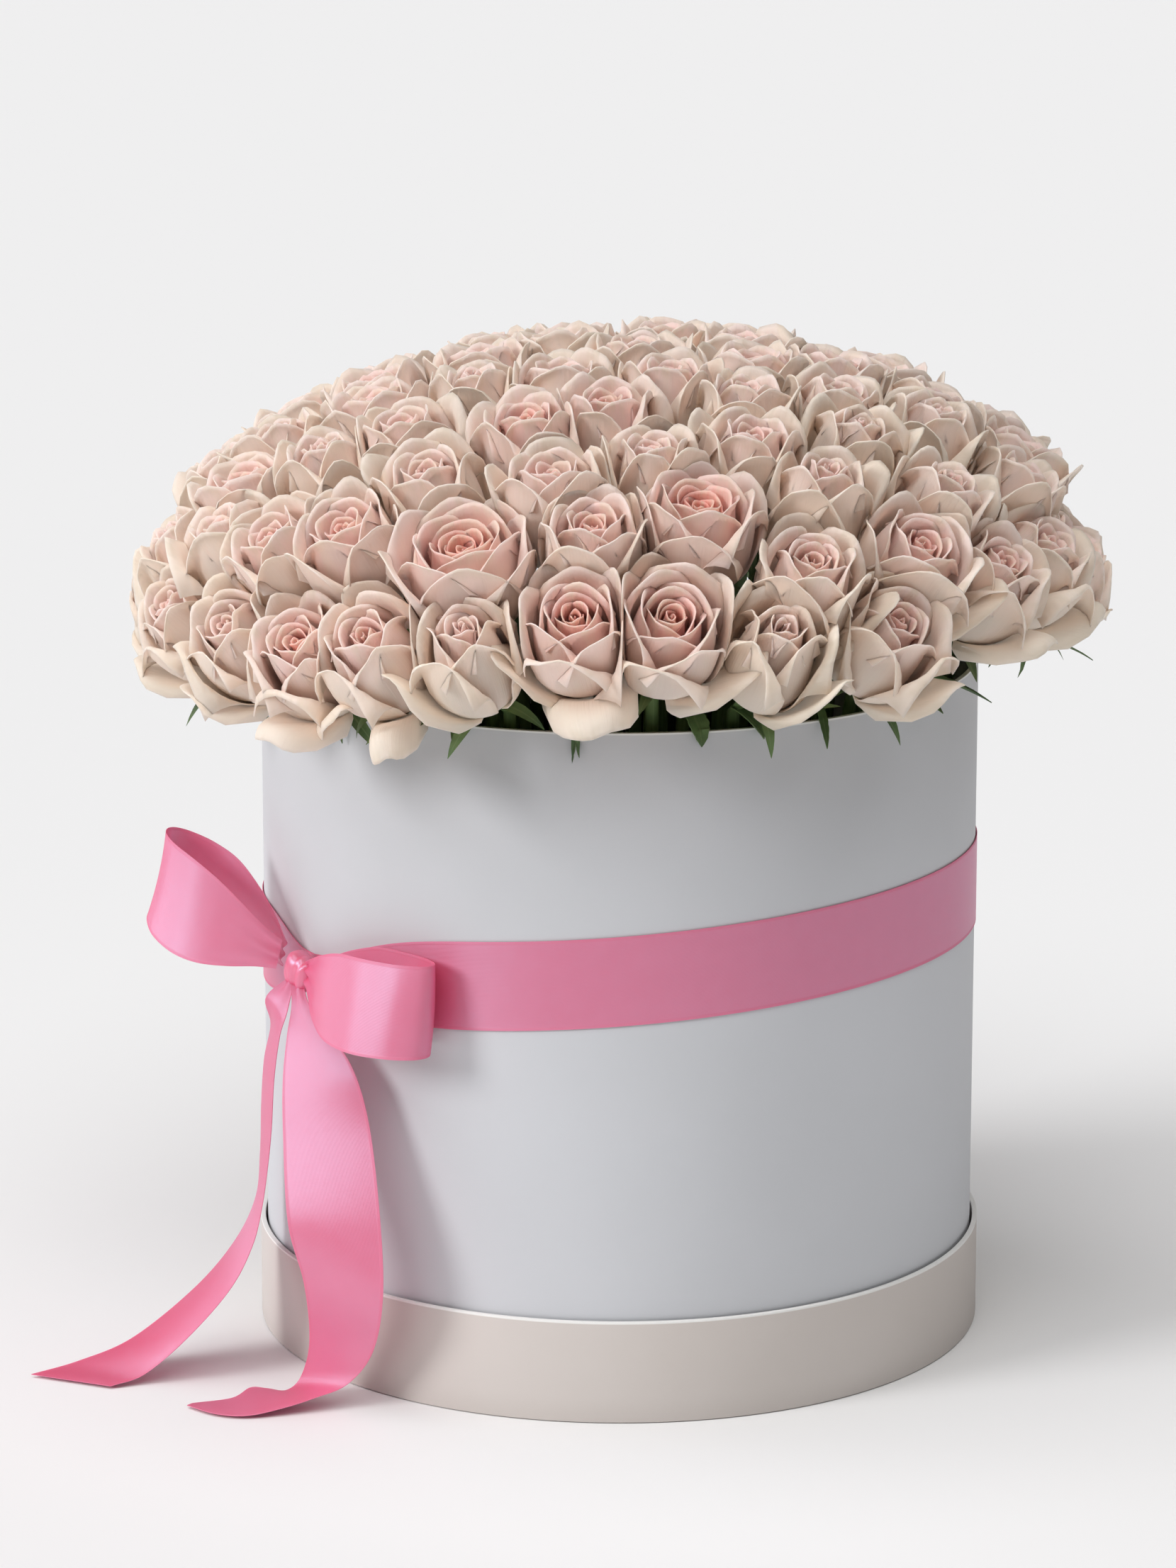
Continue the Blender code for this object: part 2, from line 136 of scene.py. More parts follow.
# Ribbon loops, from the knot out and back: way along, way out from the wall, width (mm)
LOOP_LEFT = (
    (3.0, 1.6, 11), (12.0, 7.0, 17), (24.0, 11.5, 26), (38.0, 14.0, 35), (50.0, 13.5, 37), (60.0, 10.0, 37),
    (66.0, 4.5, 37), (67.5, -1.5, 37), (65.0, -7.0, 37), (58.0, -11.0, 37), (46.0, -13.0, 37),
    (34.0, -12.0, 33), (22.0, -9.0, 25), (11.0, -5.0, 16), (3.0, -1.6, 11),
)
LOOP_RIGHT = (
    (9.0, 5.0, 11), (18.0, 2.6, 18), (30.0, 1.6, 28), (44.0, 1.4, 36), (58.0, 1.8, 37), (69.0, 4.0, 37),
    (76.0, 9.0, 37), (77.5, 14.0, 37), (74.0, 19.0, 37), (65.0, 23.0, 37), (52.0, 24.5, 37), (38.0, 22.0, 35),
    (26.0, 17.5, 27), (16.0, 12.5, 18), (9.0, 9.5, 11),
)
# Ribbon tails, from the knot to the cut end: the two edges at each station (mm)
TAIL_FRONT = (
    ((-134.5, -90.5, 169), (-130, -94.5, 169)), ((-134, -98.5, 160), (-126.5, -104, 161.5)),
    ((-135.8, -102.8, 149.2), (-117.8, -113.8, 153.2)), ((-137.4, -110.7, 132.6), (-107.5, -125.7, 139.6)),
    ((-137.1, -120.5, 113.1), (-101.1, -133.5, 117.1)), ((-134.8, -136.3, 79.8), (-96.8, -147.3, 81.8)),
    ((-128.5, -136.4, 53.6), (-96, -152.4, 52.6)), ((-127.1, -125.8, 25.9), (-100.6, -143.8, 26.9)),
    ((-131, -119, 8), (-111, -137, 11)), ((-137, -120, 2.2), (-124, -141, 6.5)),
    ((-145, -118, 2.2), (-138, -145, 3.2)), ((-152, -118, 2.6), (-152, -148, 1.2)),
    ((-159, -127, 1.3), (-165, -145, 1)), ((-175, -132.5, 1), (-177, -135, 1)),
)
TAIL_LEFT = (
    ((-136, -88.5, 169), (-133.5, -91.5, 169)), ((-145, -89, 161), (-136, -100, 158)),
    ((-143.5, -83, 148), (-139, -101, 148)), ((-147, -72, 130), (-141.5, -101, 130)),
    ((-149, -62, 108), (-143, -98, 108)),
    ((-150, -57, 86), (-145, -93.5, 90)), ((-152, -57, 66), (-147.5, -94, 73)),
    ((-160.5, -61, 48), (-151.5, -97, 57)), ((-177, -70, 30), (-160.5, -102, 40)),
    ((-203, -80, 11), (-178, -105, 20)), ((-225, -88, 3.6), (-196, -107, 4.6)),
    ((-244, -97.5, 1.0), (-210, -112, 1.0)),
)
# Leaves and long sepals that show at the rim: heading, reach and height (mm), fall and twist (degrees),
# length (mm), width as a share of it
LEAVES = (
    (-23, 150, 292, 42, -35, 17, 0.6), (11, 150, 293, 60, 20, 15, 0.6), (18, 150, 294, 42, 45, 18, 0.6),
    (44, 150, 294, 12, 40, 28, 0.5), (50, 151, 292, 24, 20, 24, 0.5), (-60, 151, 292, 40, -20, 18, 0.6),
    (88, 151, 293, 20, 30, 26, 0.55), (128, 151, 292, 30, -25, 24, 0.6), (165, 151, 292, 40, 25, 20, 0.6),
    (-155, 151, 293, 20, 15, 26, 0.55), (-112, 151, 292, 35, -30, 22, 0.6),
    (-7, 153, 286, 84, 4, 20, 0.16), (-66, 153, 290, 62, -28, 28, 0.17), (56, 152, 295, 22, 42, 40, 0.20),
    (33, 152, 291, 50, -20, 20, 0.17), (78, 184, 300, 24, 30, 30, 0.13), (-82, 186, 300, 30, -24, 28, 0.13),
    (-48, 153, 289, 74, 14, 20, 0.16), (110, 160, 292, 52, 18, 26, 0.16), (-140, 158, 292, 48, -16, 26, 0.16),
)


# ---- Selecting, naming and finishing meshes ------------------------------------------------------

def select_only(item):
    """Only this object selected, and active."""
    for other in bpy.context.selected_objects:
        other.select_set(False)
    item.select_set(True)
    bpy.context.view_layer.objects.active = item


def apply_modifiers(item):
    select_only(item)
    for modifier in list(item.modifiers):
        bpy.ops.object.modifier_apply(modifier=modifier.name)


def settle(item):
    """The object's place goes into its mesh."""
    select_only(item)
    bpy.ops.object.transform_apply(location=True, rotation=True, scale=True)


def smooth(item, degrees):
    """Smooth shading, with a crease where faces meet at more than this."""
    select_only(item)
    bpy.ops.object.shade_smooth_by_angle(angle=math.radians(degrees))


def thicken(item, thickness, offset=0.0):
    skin = item.modifiers.new("thickness", "SOLIDIFY")
    skin.thickness = thickness * MM
    skin.offset = offset
    skin.use_even_offset = False
    apply_modifiers(item)


def finished(item, finish, slot, body, *nodes):
    """Material, body and the frame nodes that the piece stands for; the slot argument is not used."""
    item.data.materials.clear()
    item.data.materials.append(finish)
    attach(item, body)
    if nodes:
        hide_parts(*nodes)
    return item


def cage_of(item):
    """The points and the faces of an object, which is then removed."""
    mesh = item.data
    points = np.zeros(len(mesh.vertices) * 3)
    mesh.vertices.foreach_get("co", points)
    faces = [tuple(face.vertices) for face in mesh.polygons]
    bpy.data.objects.remove(item, do_unlink=True)
    return points.reshape(-1, 3), faces


def grid_cage(columns, rows):
    """A flat grid: how far across (-1 to 1), how far up (0 to 1), and its faces."""
    bpy.ops.mesh.primitive_grid_add(x_subdivisions=columns - 1, y_subdivisions=rows - 1, size=2.0)
    points, faces = cage_of(bpy.context.object)
    return points[:, 0], 0.5 * (points[:, 1] + 1.0), faces


def joined(name, parts, layers=()):
    """One mesh from (points in mm, faces) parts, with a colour layer for each name in layers."""
    points, faces, base = [], [], 0
    for part in parts:
        points.append(part["points"])
        faces += [tuple(corner + base for corner in face) for face in part["faces"]]
        base += len(part["points"])
    mesh = bpy.data.meshes.new(name)
    mesh.from_pydata((np.vstack(points) * MM).tolist(), [], faces)
    for layer in layers:
        stored = mesh.attributes.new(layer, "FLOAT_COLOR", "POINT")
        colours = np.vstack([part[layer] for part in parts]).astype(np.float32)
        stored.data.foreach_set("color", colours.ravel())
    item = bpy.data.objects.new(name, mesh)
    bpy.context.scene.collection.objects.link(item)
    return item


# ---- Materials -----------------------------------------------------------------------------------

def new_group(name, inputs, outputs):
    group = bpy.data.node_groups.new(name, "ShaderNodeTree")
    for label, kind, value in inputs:
        socket = group.interface.new_socket(label, in_out="INPUT", socket_type=kind)
        if value is not None:
            socket.default_value = value
    for label, kind in outputs:
        group.interface.new_socket(label, in_out="OUTPUT", socket_type=kind)
    return group, group.nodes.new("NodeGroupInput"), group.nodes.new("NodeGroupOutput")


def node(tree, kind, values=None, **settings):
    """A node with its settings, and with each input linked to a socket or set to a value."""
    made = tree.nodes.new(kind)
    for key, value in settings.items():
        setattr(made, key, value)
    for key, value in (values or {}).items():
        if isinstance(value, bpy.types.NodeSocket):
            tree.links.new(value, made.inputs[key])
        else:
            made.inputs[key].default_value = value
    return made


def maths(tree, operation, a, b=0.0):
    return node(tree, "ShaderNodeMath", {0: a, 1: b}, operation=operation).outputs[0]


def between(tree, value, low, high):
    """0 below low, 1 above high, easing from one to the other."""
    return node(tree, "ShaderNodeMapRange", {"Value": value, "From Min": low, "From Max": high},
                interpolation_type="SMOOTHSTEP").outputs[0]


def blend(tree, factor, a, b):
    """One colour into another. The colour sockets of a Mix node are 6 and 7 in, 2 out."""
    made = tree.nodes.new("ShaderNodeMix")
    made.data_type = "RGBA"
    for key, value in ((0, factor), (6, a), (7, b)):
        if isinstance(value, bpy.types.NodeSocket):
            tree.links.new(value, made.inputs[key])
        else:
            made.inputs[key].default_value = value if key == 0 else (*value, 1.0)
    return made.outputs[2]


def tinted(tree, tone, mask, amount, colour):
    """The tone with an amount of a colour where the mask is 1."""
    return blend(tree, maths(tree, "MULTIPLY", mask, amount), tone, colour)


def new_material(name, roughness, **sockets):
    made = bpy.data.materials.new(name)
    made.use_nodes = True
    shader = made.node_tree.nodes["Principled BSDF"]
    shader.inputs["Roughness"].default_value = roughness
    for key, value in sockets.items():
        shader.inputs[key.replace("_", " ")].default_value = value
    return made, made.node_tree, shader


def rough_between(tree, shader, value, low, high):
    """Roughness that follows a value between two levels."""
    made = node(tree, "ShaderNodeMapRange", {"Value": value, "To Min": low, "To Max": high})
    tree.links.new(made.outputs[0], shader.inputs["Roughness"])


def bump(tree, shader, height, distance, strength):
    made = node(tree, "ShaderNodeBump", {"Height": height, "Distance": distance, "Strength": strength})
    tree.links.new(made.outputs[0], shader.inputs["Normal"])


def grain_group():
    """Fine and broad unevenness of a surface, on object coordinates."""
    group, entry, leave = new_group(
        "Grain", [("Fine", "NodeSocketFloat", 900.0), ("Broad", "NodeSocketFloat", 14.0)],
        [("Height", "NodeSocketFloat"), ("Mottle", "NodeSocketFloat")])
    place = group.nodes.new("ShaderNodeTexCoord").outputs["Object"]
    fine = node(group, "ShaderNodeTexNoise", {"Vector": place, "Scale": entry.outputs["Fine"], "Detail": 3.0})
    broad = node(group, "ShaderNodeTexNoise",
                 {"Vector": place, "Scale": entry.outputs["Broad"], "Detail": 4.0})
    group.links.new(fine.outputs[0], leave.inputs["Height"])
    group.links.new(broad.outputs[0], leave.inputs["Mottle"])
    return group


def vein_group():
    """Veins that run up a petal or leaf and waver, from its own place layer."""
    group, entry, leave = new_group(
        "Veins", [("Across", "NodeSocketFloat", 0.0), ("Up", "NodeSocketFloat", 0.0),
                  ("Count", "NodeSocketFloat", 12.0), ("Seed", "NodeSocketFloat", 0.0)],
        [("Height", "NodeSocketFloat"), ("Patch", "NodeSocketFloat")])
    across = maths(group, "MULTIPLY", entry.outputs["Across"], entry.outputs["Count"])
    where = node(group, "ShaderNodeCombineXYZ", {0: across, 1: entry.outputs["Up"], 2: entry.outputs["Seed"]})
    lines = node(group, "ShaderNodeTexNoise", {"Vector": where.outputs[0], "Scale": 1.6, "Detail": 4.0})
    low = node(group, "ShaderNodeCombineXYZ", {0: entry.outputs["Across"], 1: entry.outputs["Up"],
                                              2: entry.outputs["Seed"]})
    patch = node(group, "ShaderNodeTexNoise", {"Vector": low.outputs[0], "Scale": 2.6, "Detail": 2.0})
    group.links.new(lines.outputs[0], leave.inputs["Height"])
    group.links.new(patch.outputs[0], leave.inputs["Patch"])
    return group


GRAIN = grain_group()
VEINS = vein_group()


def grained(tree, fine, broad):
    made = node(tree, "ShaderNodeGroup", node_tree=GRAIN)
    made.inputs["Fine"].default_value = fine
    made.inputs["Broad"].default_value = broad
    return made.outputs["Height"], made.outputs["Mottle"]


def board_finish(name, light, dark, foot, rim):
    """Matt paper on board: a soft mottle, darker over its lowest 12 mm, a painted highlight along the top
    edge of the rim, a fine tooth.
    """
    made, tree, shader = new_material(name, 0.62)
    height, mottle = grained(tree, 1400.0, 9.0)
    tone = blend(tree, between(tree, mottle, 0.30, 0.75), light, dark)
    place = tree.nodes.new("ShaderNodeTexCoord").outputs["Object"]
    up = node(tree, "ShaderNodeSeparateXYZ", {0: place}).outputs[2]
    # Darker over the lowest 12 mm above the foot.
    low = maths(tree, "SUBTRACT", 1.0, between(tree, up, foot, foot + 12.0 * MM))
    tone = tinted(tree, tone, low, 0.35, tuple(0.86 * c for c in dark))
    # Painted highlight: the top edge of the rim is tinted near-white, as where it catches the light from
    # above.
    fold = between(tree, up, rim - 1.1 * MM, rim - 0.5 * MM)
    tone = tinted(tree, tone, fold, 0.85, (0.92, 0.92, 0.90))
    tree.links.new(tone, shader.inputs["Base Color"])
    rough_between(tree, shader, mottle, 0.48, 0.60)
    bump(tree, shader, height, 0.00006, 0.5)
    return made


def satin_finish():
    """Double-faced satin: warp floats that spread the light across the ribbon, a denser woven edge."""
    made, tree, shader = new_material("pink satin ribbon", 0.4, Sheen_Weight=0.03, Sheen_Roughness=0.35,
                                      Anisotropic=0.7, Specular_IOR_Level=1.0, IOR=2.1,
                                      Subsurface_Weight=0.3, Subsurface_Scale=0.002)
    shader.inputs["Specular Tint"].default_value = (0.45, 0.77, 1.0, 1.0)
    shader.inputs["Subsurface Radius"].default_value = (1.0, 0.6, 0.7)
    shader.inputs["Sheen Tint"].default_value = (1.0, 0.72, 0.84, 1.0)
    thread = node(tree, "ShaderNodeTangent", direction_type="UV_MAP", uv_map=FLAT)
    tree.links.new(thread.outputs[0], shader.inputs["Tangent"])
    flat = node(tree, "ShaderNodeUVMap").outputs[0]
    parts = node(tree, "ShaderNodeSeparateXYZ", {0: flat})
    warp = node(tree, "ShaderNodeTexWave", {"Vector": flat, "Scale": 9.0, "Distortion": 0.6, "Detail": 1.0},
                wave_type="BANDS", bands_direction="X")
    weft = node(tree, "ShaderNodeTexWave", {"Vector": flat, "Scale": 14.0, "Distortion": 0.4},
                wave_type="BANDS", bands_direction="Y")
    cloud = node(tree, "ShaderNodeTexNoise", {"Vector": flat, "Scale": 0.9, "Detail": 3.0}).outputs[0]
    from_middle = maths(tree, "ABSOLUTE", maths(tree, "SUBTRACT", parts.outputs[0], HALF_RIBBON_CM))
    edge = between(tree, from_middle, HALF_RIBBON_CM - 0.15, HALF_RIBBON_CM - 0.08)
    tone = blend(tree, between(tree, cloud, 0.30, 0.75), (0.96, 0.100, 0.205), (0.97, 0.113, 0.222))
    tone = tinted(tree, tone, warp.outputs[1], 0.10, (0.97, 0.34, 0.46))
    tone = tinted(tree, tone, edge, 0.45, (0.94, 0.10, 0.19))
    tree.links.new(tone, shader.inputs["Base Color"])
    rough = node(tree, "ShaderNodeMapRange", {"Value": cloud, "To Min": 0.36, "To Max": 0.43}).outputs[0]
    tree.links.new(maths(tree, "ADD", rough, maths(tree, "MULTIPLY", edge, 0.2)), shader.inputs["Roughness"])
    relief = maths(tree, "ADD", warp.outputs[1], maths(tree, "MULTIPLY", weft.outputs[1], 0.5))
    relief = maths(tree, "ADD", relief, maths(tree, "MULTIPLY", edge, 3.0))
    bump(tree, shader, relief, 0.00004, 0.6)
    return made


def petal_finish():
    """Coral heart, pale pink petals, cream outer ones; greenish at the foot, dry and pale at the margin."""
    made, tree, shader = new_material("rose petal", 0.56, Subsurface_Weight=0.6, Subsurface_Scale=0.004,
                                      Sheen_Weight=0.12, Sheen_Roughness=0.5)
    shader.inputs["Subsurface Radius"].default_value = (1.0, 0.88, 0.82)
    place = node(tree, "ShaderNodeAttribute", attribute_name="place")
    parts = node(tree, "ShaderNodeSeparateColor", {0: place.outputs["Color"]})
    out, up, across = parts.outputs[0], parts.outputs[1], parts.outputs[2]
    own = node(tree, "ShaderNodeAttribute", attribute_name="tone")
    own_parts = node(tree, "ShaderNodeSeparateColor", {0: own.outputs["Color"]})
    pink, seed, edge = own_parts.outputs[0], own_parts.outputs[1], own_parts.outputs[2]
    veins = node(tree, "ShaderNodeGroup", {"Across": across, "Up": up,
                                          "Seed": maths(tree, "MULTIPLY", seed, 40.0)}, node_tree=VEINS)
    veins.inputs["Count"].default_value = 14.0
    shift = maths(tree, "MULTIPLY", maths(tree, "SUBTRACT", 0.72, pink), 0.42)
    where = maths(tree, "ADD", out, shift)
    # Painted shade: each petal turns deeper coral towards its foot, standing for the shade inside the cup.
    where = maths(tree, "ADD", where, maths(tree, "MULTIPLY", maths(tree, "SUBTRACT", up, 0.6), 0.10))
    ramp = node(tree, "ShaderNodeValToRGB", {"Fac": where})
    stops = ((0.00, (0.93, 0.240, 0.180)), (0.18, (0.95, 0.365, 0.295)), (0.38, (0.97, 0.525, 0.465)),
             (0.60, (0.97, 0.645, 0.575)), (0.82, (0.97, 0.705, 0.615)), (1.00, (0.96, 0.725, 0.600)))
    elements = ramp.color_ramp.elements
    elements[0].position, elements[0].color = stops[0][0], (*stops[0][1], 1.0)
    elements[1].position, elements[1].color = stops[-1][0], (*stops[-1][1], 1.0)
    for position, colour in stops[1:-1]:
        elements.new(position).color = (*colour, 1.0)
    tone = tinted(tree, ramp.outputs[0], between(tree, veins.outputs["Patch"], 0.35, 0.75), 0.45,
                  (0.93, 0.76, 0.60))
    tone = tinted(tree, tone, between(tree, veins.outputs["Height"], 0.45, 0.8), 0.16, (0.90, 0.60, 0.54))
    foot = maths(tree, "SUBTRACT", 1.0, between(tree, up, 0.06, 0.36))
    tone = tinted(tree, tone, foot, 0.65, (0.72, 0.72, 0.44))
    outer = between(tree, out, 0.70, 0.95)
    pale = maths(tree, "MULTIPLY", maths(tree, "MULTIPLY", outer, maths(tree, "SUBTRACT", 1.0, pink)), 0.55)
    tone = blend(tree, pale, tone, (0.90, 0.77, 0.57))
    margin = between(tree, edge, 0.86, 1.0)
    dry = maths(tree, "MULTIPLY", margin, between(tree, veins.outputs["Patch"], 0.42, 0.60))
    tone = tinted(tree, tone, dry, 0.40, (0.62, 0.46, 0.30))
    tone = tinted(tree, tone, margin, 0.12, (0.97, 0.84, 0.76))
    tree.links.new(tone, shader.inputs["Base Color"])
    rough_between(tree, shader, veins.outputs["Height"], 0.48, 0.66)
    bump(tree, shader, veins.outputs["Height"], 0.00035, 0.6)
    return made


def green_finish():
    """Calyx, sepals, stems and leaves: a dark mottled green with veins, paler along the midrib and on the
    stems.
    """
    made, tree, shader = new_material("rose green", 0.5, Subsurface_Weight=0.08, Subsurface_Scale=0.001)
    place = node(tree, "ShaderNodeAttribute", attribute_name="place")
    parts = node(tree, "ShaderNodeSeparateColor", {0: place.outputs["Color"]})
    kind, up, across = parts.outputs[0], parts.outputs[1], parts.outputs[2]
    veins = node(tree, "ShaderNodeGroup", {"Across": across, "Up": up, "Seed": kind}, node_tree=VEINS)
    veins.inputs["Count"].default_value = 6.0
    height, mottle = grained(tree, 700.0, 60.0)
    tone = blend(tree, between(tree, mottle, 0.3, 0.7), (0.045, 0.095, 0.030), (0.110, 0.185, 0.060))
    tone = tinted(tree, tone, between(tree, veins.outputs["Height"], 0.45, 0.75), 0.35, (0.17, 0.25, 0.09))
    rib = maths(tree, "SUBTRACT", 1.0, between(tree, maths(tree, "ABSOLUTE", across), 0.04, 0.16))
    tone = tinted(tree, tone, rib, 0.35, (0.20, 0.28, 0.12))
    stem = between(tree, kind, 0.55, 0.65)
    tone = tinted(tree, tone, stem, 0.5, (0.13, 0.20, 0.07))
    tree.links.new(tone, shader.inputs["Base Color"])
    rough_between(tree, shader, mottle, 0.42, 0.60)
    bump(tree, shader, maths(tree, "ADD", height, veins.outputs["Height"]), 0.00018, 0.6)
    return made


def tub_finish():
    """Dark moulded plastic tub with a drawn grain and a dull bloom."""
    made, tree, shader = new_material("tub plastic", 0.45)
    height, mottle = grained(tree, 420.0, 22.0)
    tone = blend(tree, mottle, (0.020, 0.028, 0.022), (0.040, 0.055, 0.040))
    tree.links.new(tone, shader.inputs["Base Color"])
    rough_between(tree, shader, mottle, 0.38, 0.58)
    bump(tree, shader, height, 0.00012, 0.5)
    return made


def foam_finish():
    """Wet green foam: fine open cells, darker where the water has soaked in."""
    made, tree, shader = new_material("wet foam", 0.85)
    height, mottle = grained(tree, 600.0, 30.0)
    place = tree.nodes.new("ShaderNodeTexCoord").outputs["Object"]
    cells = node(tree, "ShaderNodeTexVoronoi", {"Vector": place, "Scale": 700.0}).outputs[0]
    tone = blend(tree, between(tree, mottle, 0.35, 0.70), (0.020, 0.070, 0.030), (0.055, 0.150, 0.070))
    tone = tinted(tree, tone, between(tree, cells, 0.2, 0.5), 0.5, (0.010, 0.040, 0.018))
    tree.links.new(tone, shader.inputs["Base Color"])
    rough_between(tree, shader, mottle, 0.62, 0.92)
    bump(tree, shader, maths(tree, "ADD", height, cells), 0.0005, 0.8)
    return made


# ---- Box and lid ---------------------------------------------------------------------------------

def board_tube(name, radius, low, high):
    """An open board cylinder with rounded edges, and the lap of its paper wrap proud at the back."""
    bpy.ops.mesh.primitive_cylinder_add(vertices=ROUND, radius=radius * MM, depth=(high - low) * MM,
                                        end_fill_type="NOTHING", location=(0.0, 0.0, 0.5 * (low + high) * MM))
    item = bpy.context.object
    item.name = name
    settle(item)
    for face in item.data.polygons:
        turn = math.atan2(face.center.x, -face.center.y)
        face.select = abs(turn - LAP_TURN) < math.radians(2.4)
    bpy.context.tool_settings.mesh_select_mode = (False, False, True)
    bpy.ops.object.mode_set(mode="EDIT")
    bpy.ops.mesh.inset(thickness=0.00012, depth=0.00016, use_boundary=False)
    bpy.ops.object.mode_set(mode="OBJECT")
    thicken(item, BOARD, -1.0)
    edge = item.modifiers.new("worn edge", "BEVEL")
    edge.width = BOARD_EDGE * MM
    edge.segments = 3
    edge.limit_method = "ANGLE"
    edge.angle_limit = math.radians(60)
    apply_modifiers(item)
    smooth(item, 32)
    return item


# ---- Ribbon --------------------------------------------------------------------------------------

def eased_rows(stations, rows):
    """Rows of points through the stations on a smooth curve, evenly spaced along it, and its length (mm)."""
    known = np.array(stations, float)
    padded = np.concatenate([2 * known[:1] - known[1:2], known, 2 * known[-1:] - known[-2:-1]])
    fine = []
    for k in range(len(known) - 1):
        a, b, c, d = padded[k:k + 4]
        for t in np.linspace(0, 1, 24, endpoint=k == len(known) - 2):
            fine.append(0.5 * (2 * b + (c - a) * t + (2 * a - 5 * b + 4 * c - d) * t ** 2
                               + (3 * b - a - 3 * c + d) * t ** 3))
    fine = np.array(fine)
    middle = fine.mean(1)
    way = np.concatenate([[0], np.cumsum(np.linalg.norm(np.diff(middle, axis=0), axis=1))])
    even = np.linspace(0, way[-1], rows)
    shaped = np.stack([[np.interp(even, way, fine[:, side, axis]) for axis in range(3)] for side in range(2)])
    return shaped.transpose(2, 0, 1), even, way[-1]


def ribbon_strip(name, edges, rows, columns, pleats, depth, fade, both_ends, cup=0.0):
    """A ribbon between two edges, pleated where it goes into the knot and a little cupped across."""
    lines, way, length = eased_rows(edges, rows)
    bpy.ops.mesh.primitive_grid_add(x_subdivisions=columns - 1, y_subdivisions=rows - 1, size=2.0)
    item = bpy.context.object
    item.name = name
    across = np.linspace(0, 1, columns)[None, :, None]
    points = lines[:, 0][:, None] * (1 - across) + lines[:, 1][:, None] * across
    along = np.gradient(points, axis=0)
    over = np.gradient(points, axis=1)
    normal = np.cross(along, over)
    normal /= np.maximum(np.linalg.norm(normal, axis=2)[..., None], 1e-9)
    near = np.minimum(way, length - way) if both_ends else way
    fold = np.exp(-near / fade)[:, None, None]
    ripple = depth * fold * np.cos(2 * math.pi * pleats * across + 0.7 + 0.02 * near[:, None, None])
    bow = cup * (1 - (2 * across - 1) ** 2) * (1 - fold) * np.sin(np.pi * way / length)[:, None, None]
    points = points + normal * (ripple + bow)
    item.data.vertices.foreach_set("co", (points.reshape(-1, 3) * MM).ravel())
    lay_flat(item, columns, rows, length)
    thicken(item, RIBBON_THICK)
    smooth(item, 50)
    return item, length


def lay_flat(item, columns, rows, length):
    """The ribbon's own flat map, in centimetres across and along."""
    layer = item.data.uv_layers[0]
    layer.name = FLAT
    corner = np.zeros(len(item.data.loops), int)
    item.data.loops.foreach_get("vertex_index", corner)
    across = (corner % columns) / (columns - 1) * 0.1 * RIBBON_WIDTH
    along = (corner // columns) / (rows - 1) * 0.1 * length
    layer.data.foreach_set("uv", np.stack([across, along], 1).ravel())


def band_edges(count):
    """The band's lower and upper edges round the box, drawn together where they meet behind the knot."""
    edges = []
    for k in range(count):
        turn = KNOT_TURN + 2 * math.pi * k / (count - 1)
        x, y = math.sin(turn) * RIBBON_REACH, -math.cos(turn) * RIBBON_REACH
        z = RIBBON_MIDDLE_Z + RIBBON_SLOPE_X * x + RIBBON_SLOPE_Y * y
        before, after = turn - KNOT_TURN, turn - KNOT_TURN - 2 * math.pi
        drawn = math.exp(-(before / 0.26) ** 2) + math.exp(-(after / 0.2) ** 2)
        edges.append(((x, y, z - 0.5 * RIBBON_WIDTH + BAND_LIFT * drawn),
                      (x, y, z + 0.5 * RIBBON_WIDTH - BAND_DROP * drawn)))
    return edges


def loop_left_edges():
    """The left loop stands off the box, with its front layer leaning back and its far end rounded below."""
    start = Vector((-136.5, -83.5, 176.5))
    along = Vector((-57.0, 33.0, 30.0)).normalized()
    across = (Vector((0.0, 0.0, 1.0)) - along * along.z).normalized()
    apart = along.cross(across)
    across = across + 0.28 * along
    edges = []
    for way, out, width in LOOP_LEFT:
        middle = start + along * way + apart * out
        lean = apart * -(LOOP_LEAN * min(1.0, width / 30.0) * max(0.0, min(1.0, (13.0 - out) / 27.0)))
        curl = 1.0 - 0.16 * math.exp(-((way - 68.0) / 6.0) ** 2)
        edges.append((middle + across * (0.5 * width) - lean, middle - across * (0.5 * width * curl) + lean))
    return edges


def loop_right_edges():
    """The right loop lies against the box, its front layer leaning back."""
    edges = []
    for way, out, width in LOOP_RIGHT:
        angle = KNOT_TURN + way / 155.0
        reach = BOX_RADIUS + 1.2 + out
        middle = Vector((math.sin(angle) * reach, -math.cos(angle) * reach, 173.0 - 0.02 * way))
        half = Vector((0.0, 0.0, 0.5 * width))
        away = Vector((math.sin(angle), -math.cos(angle), 0.0))
        lean = away * (LOOP_LEAN * width / RIBBON_WIDTH * out / 24.5)
        edges.append((middle + half - lean, middle - half + lean))
    return edges


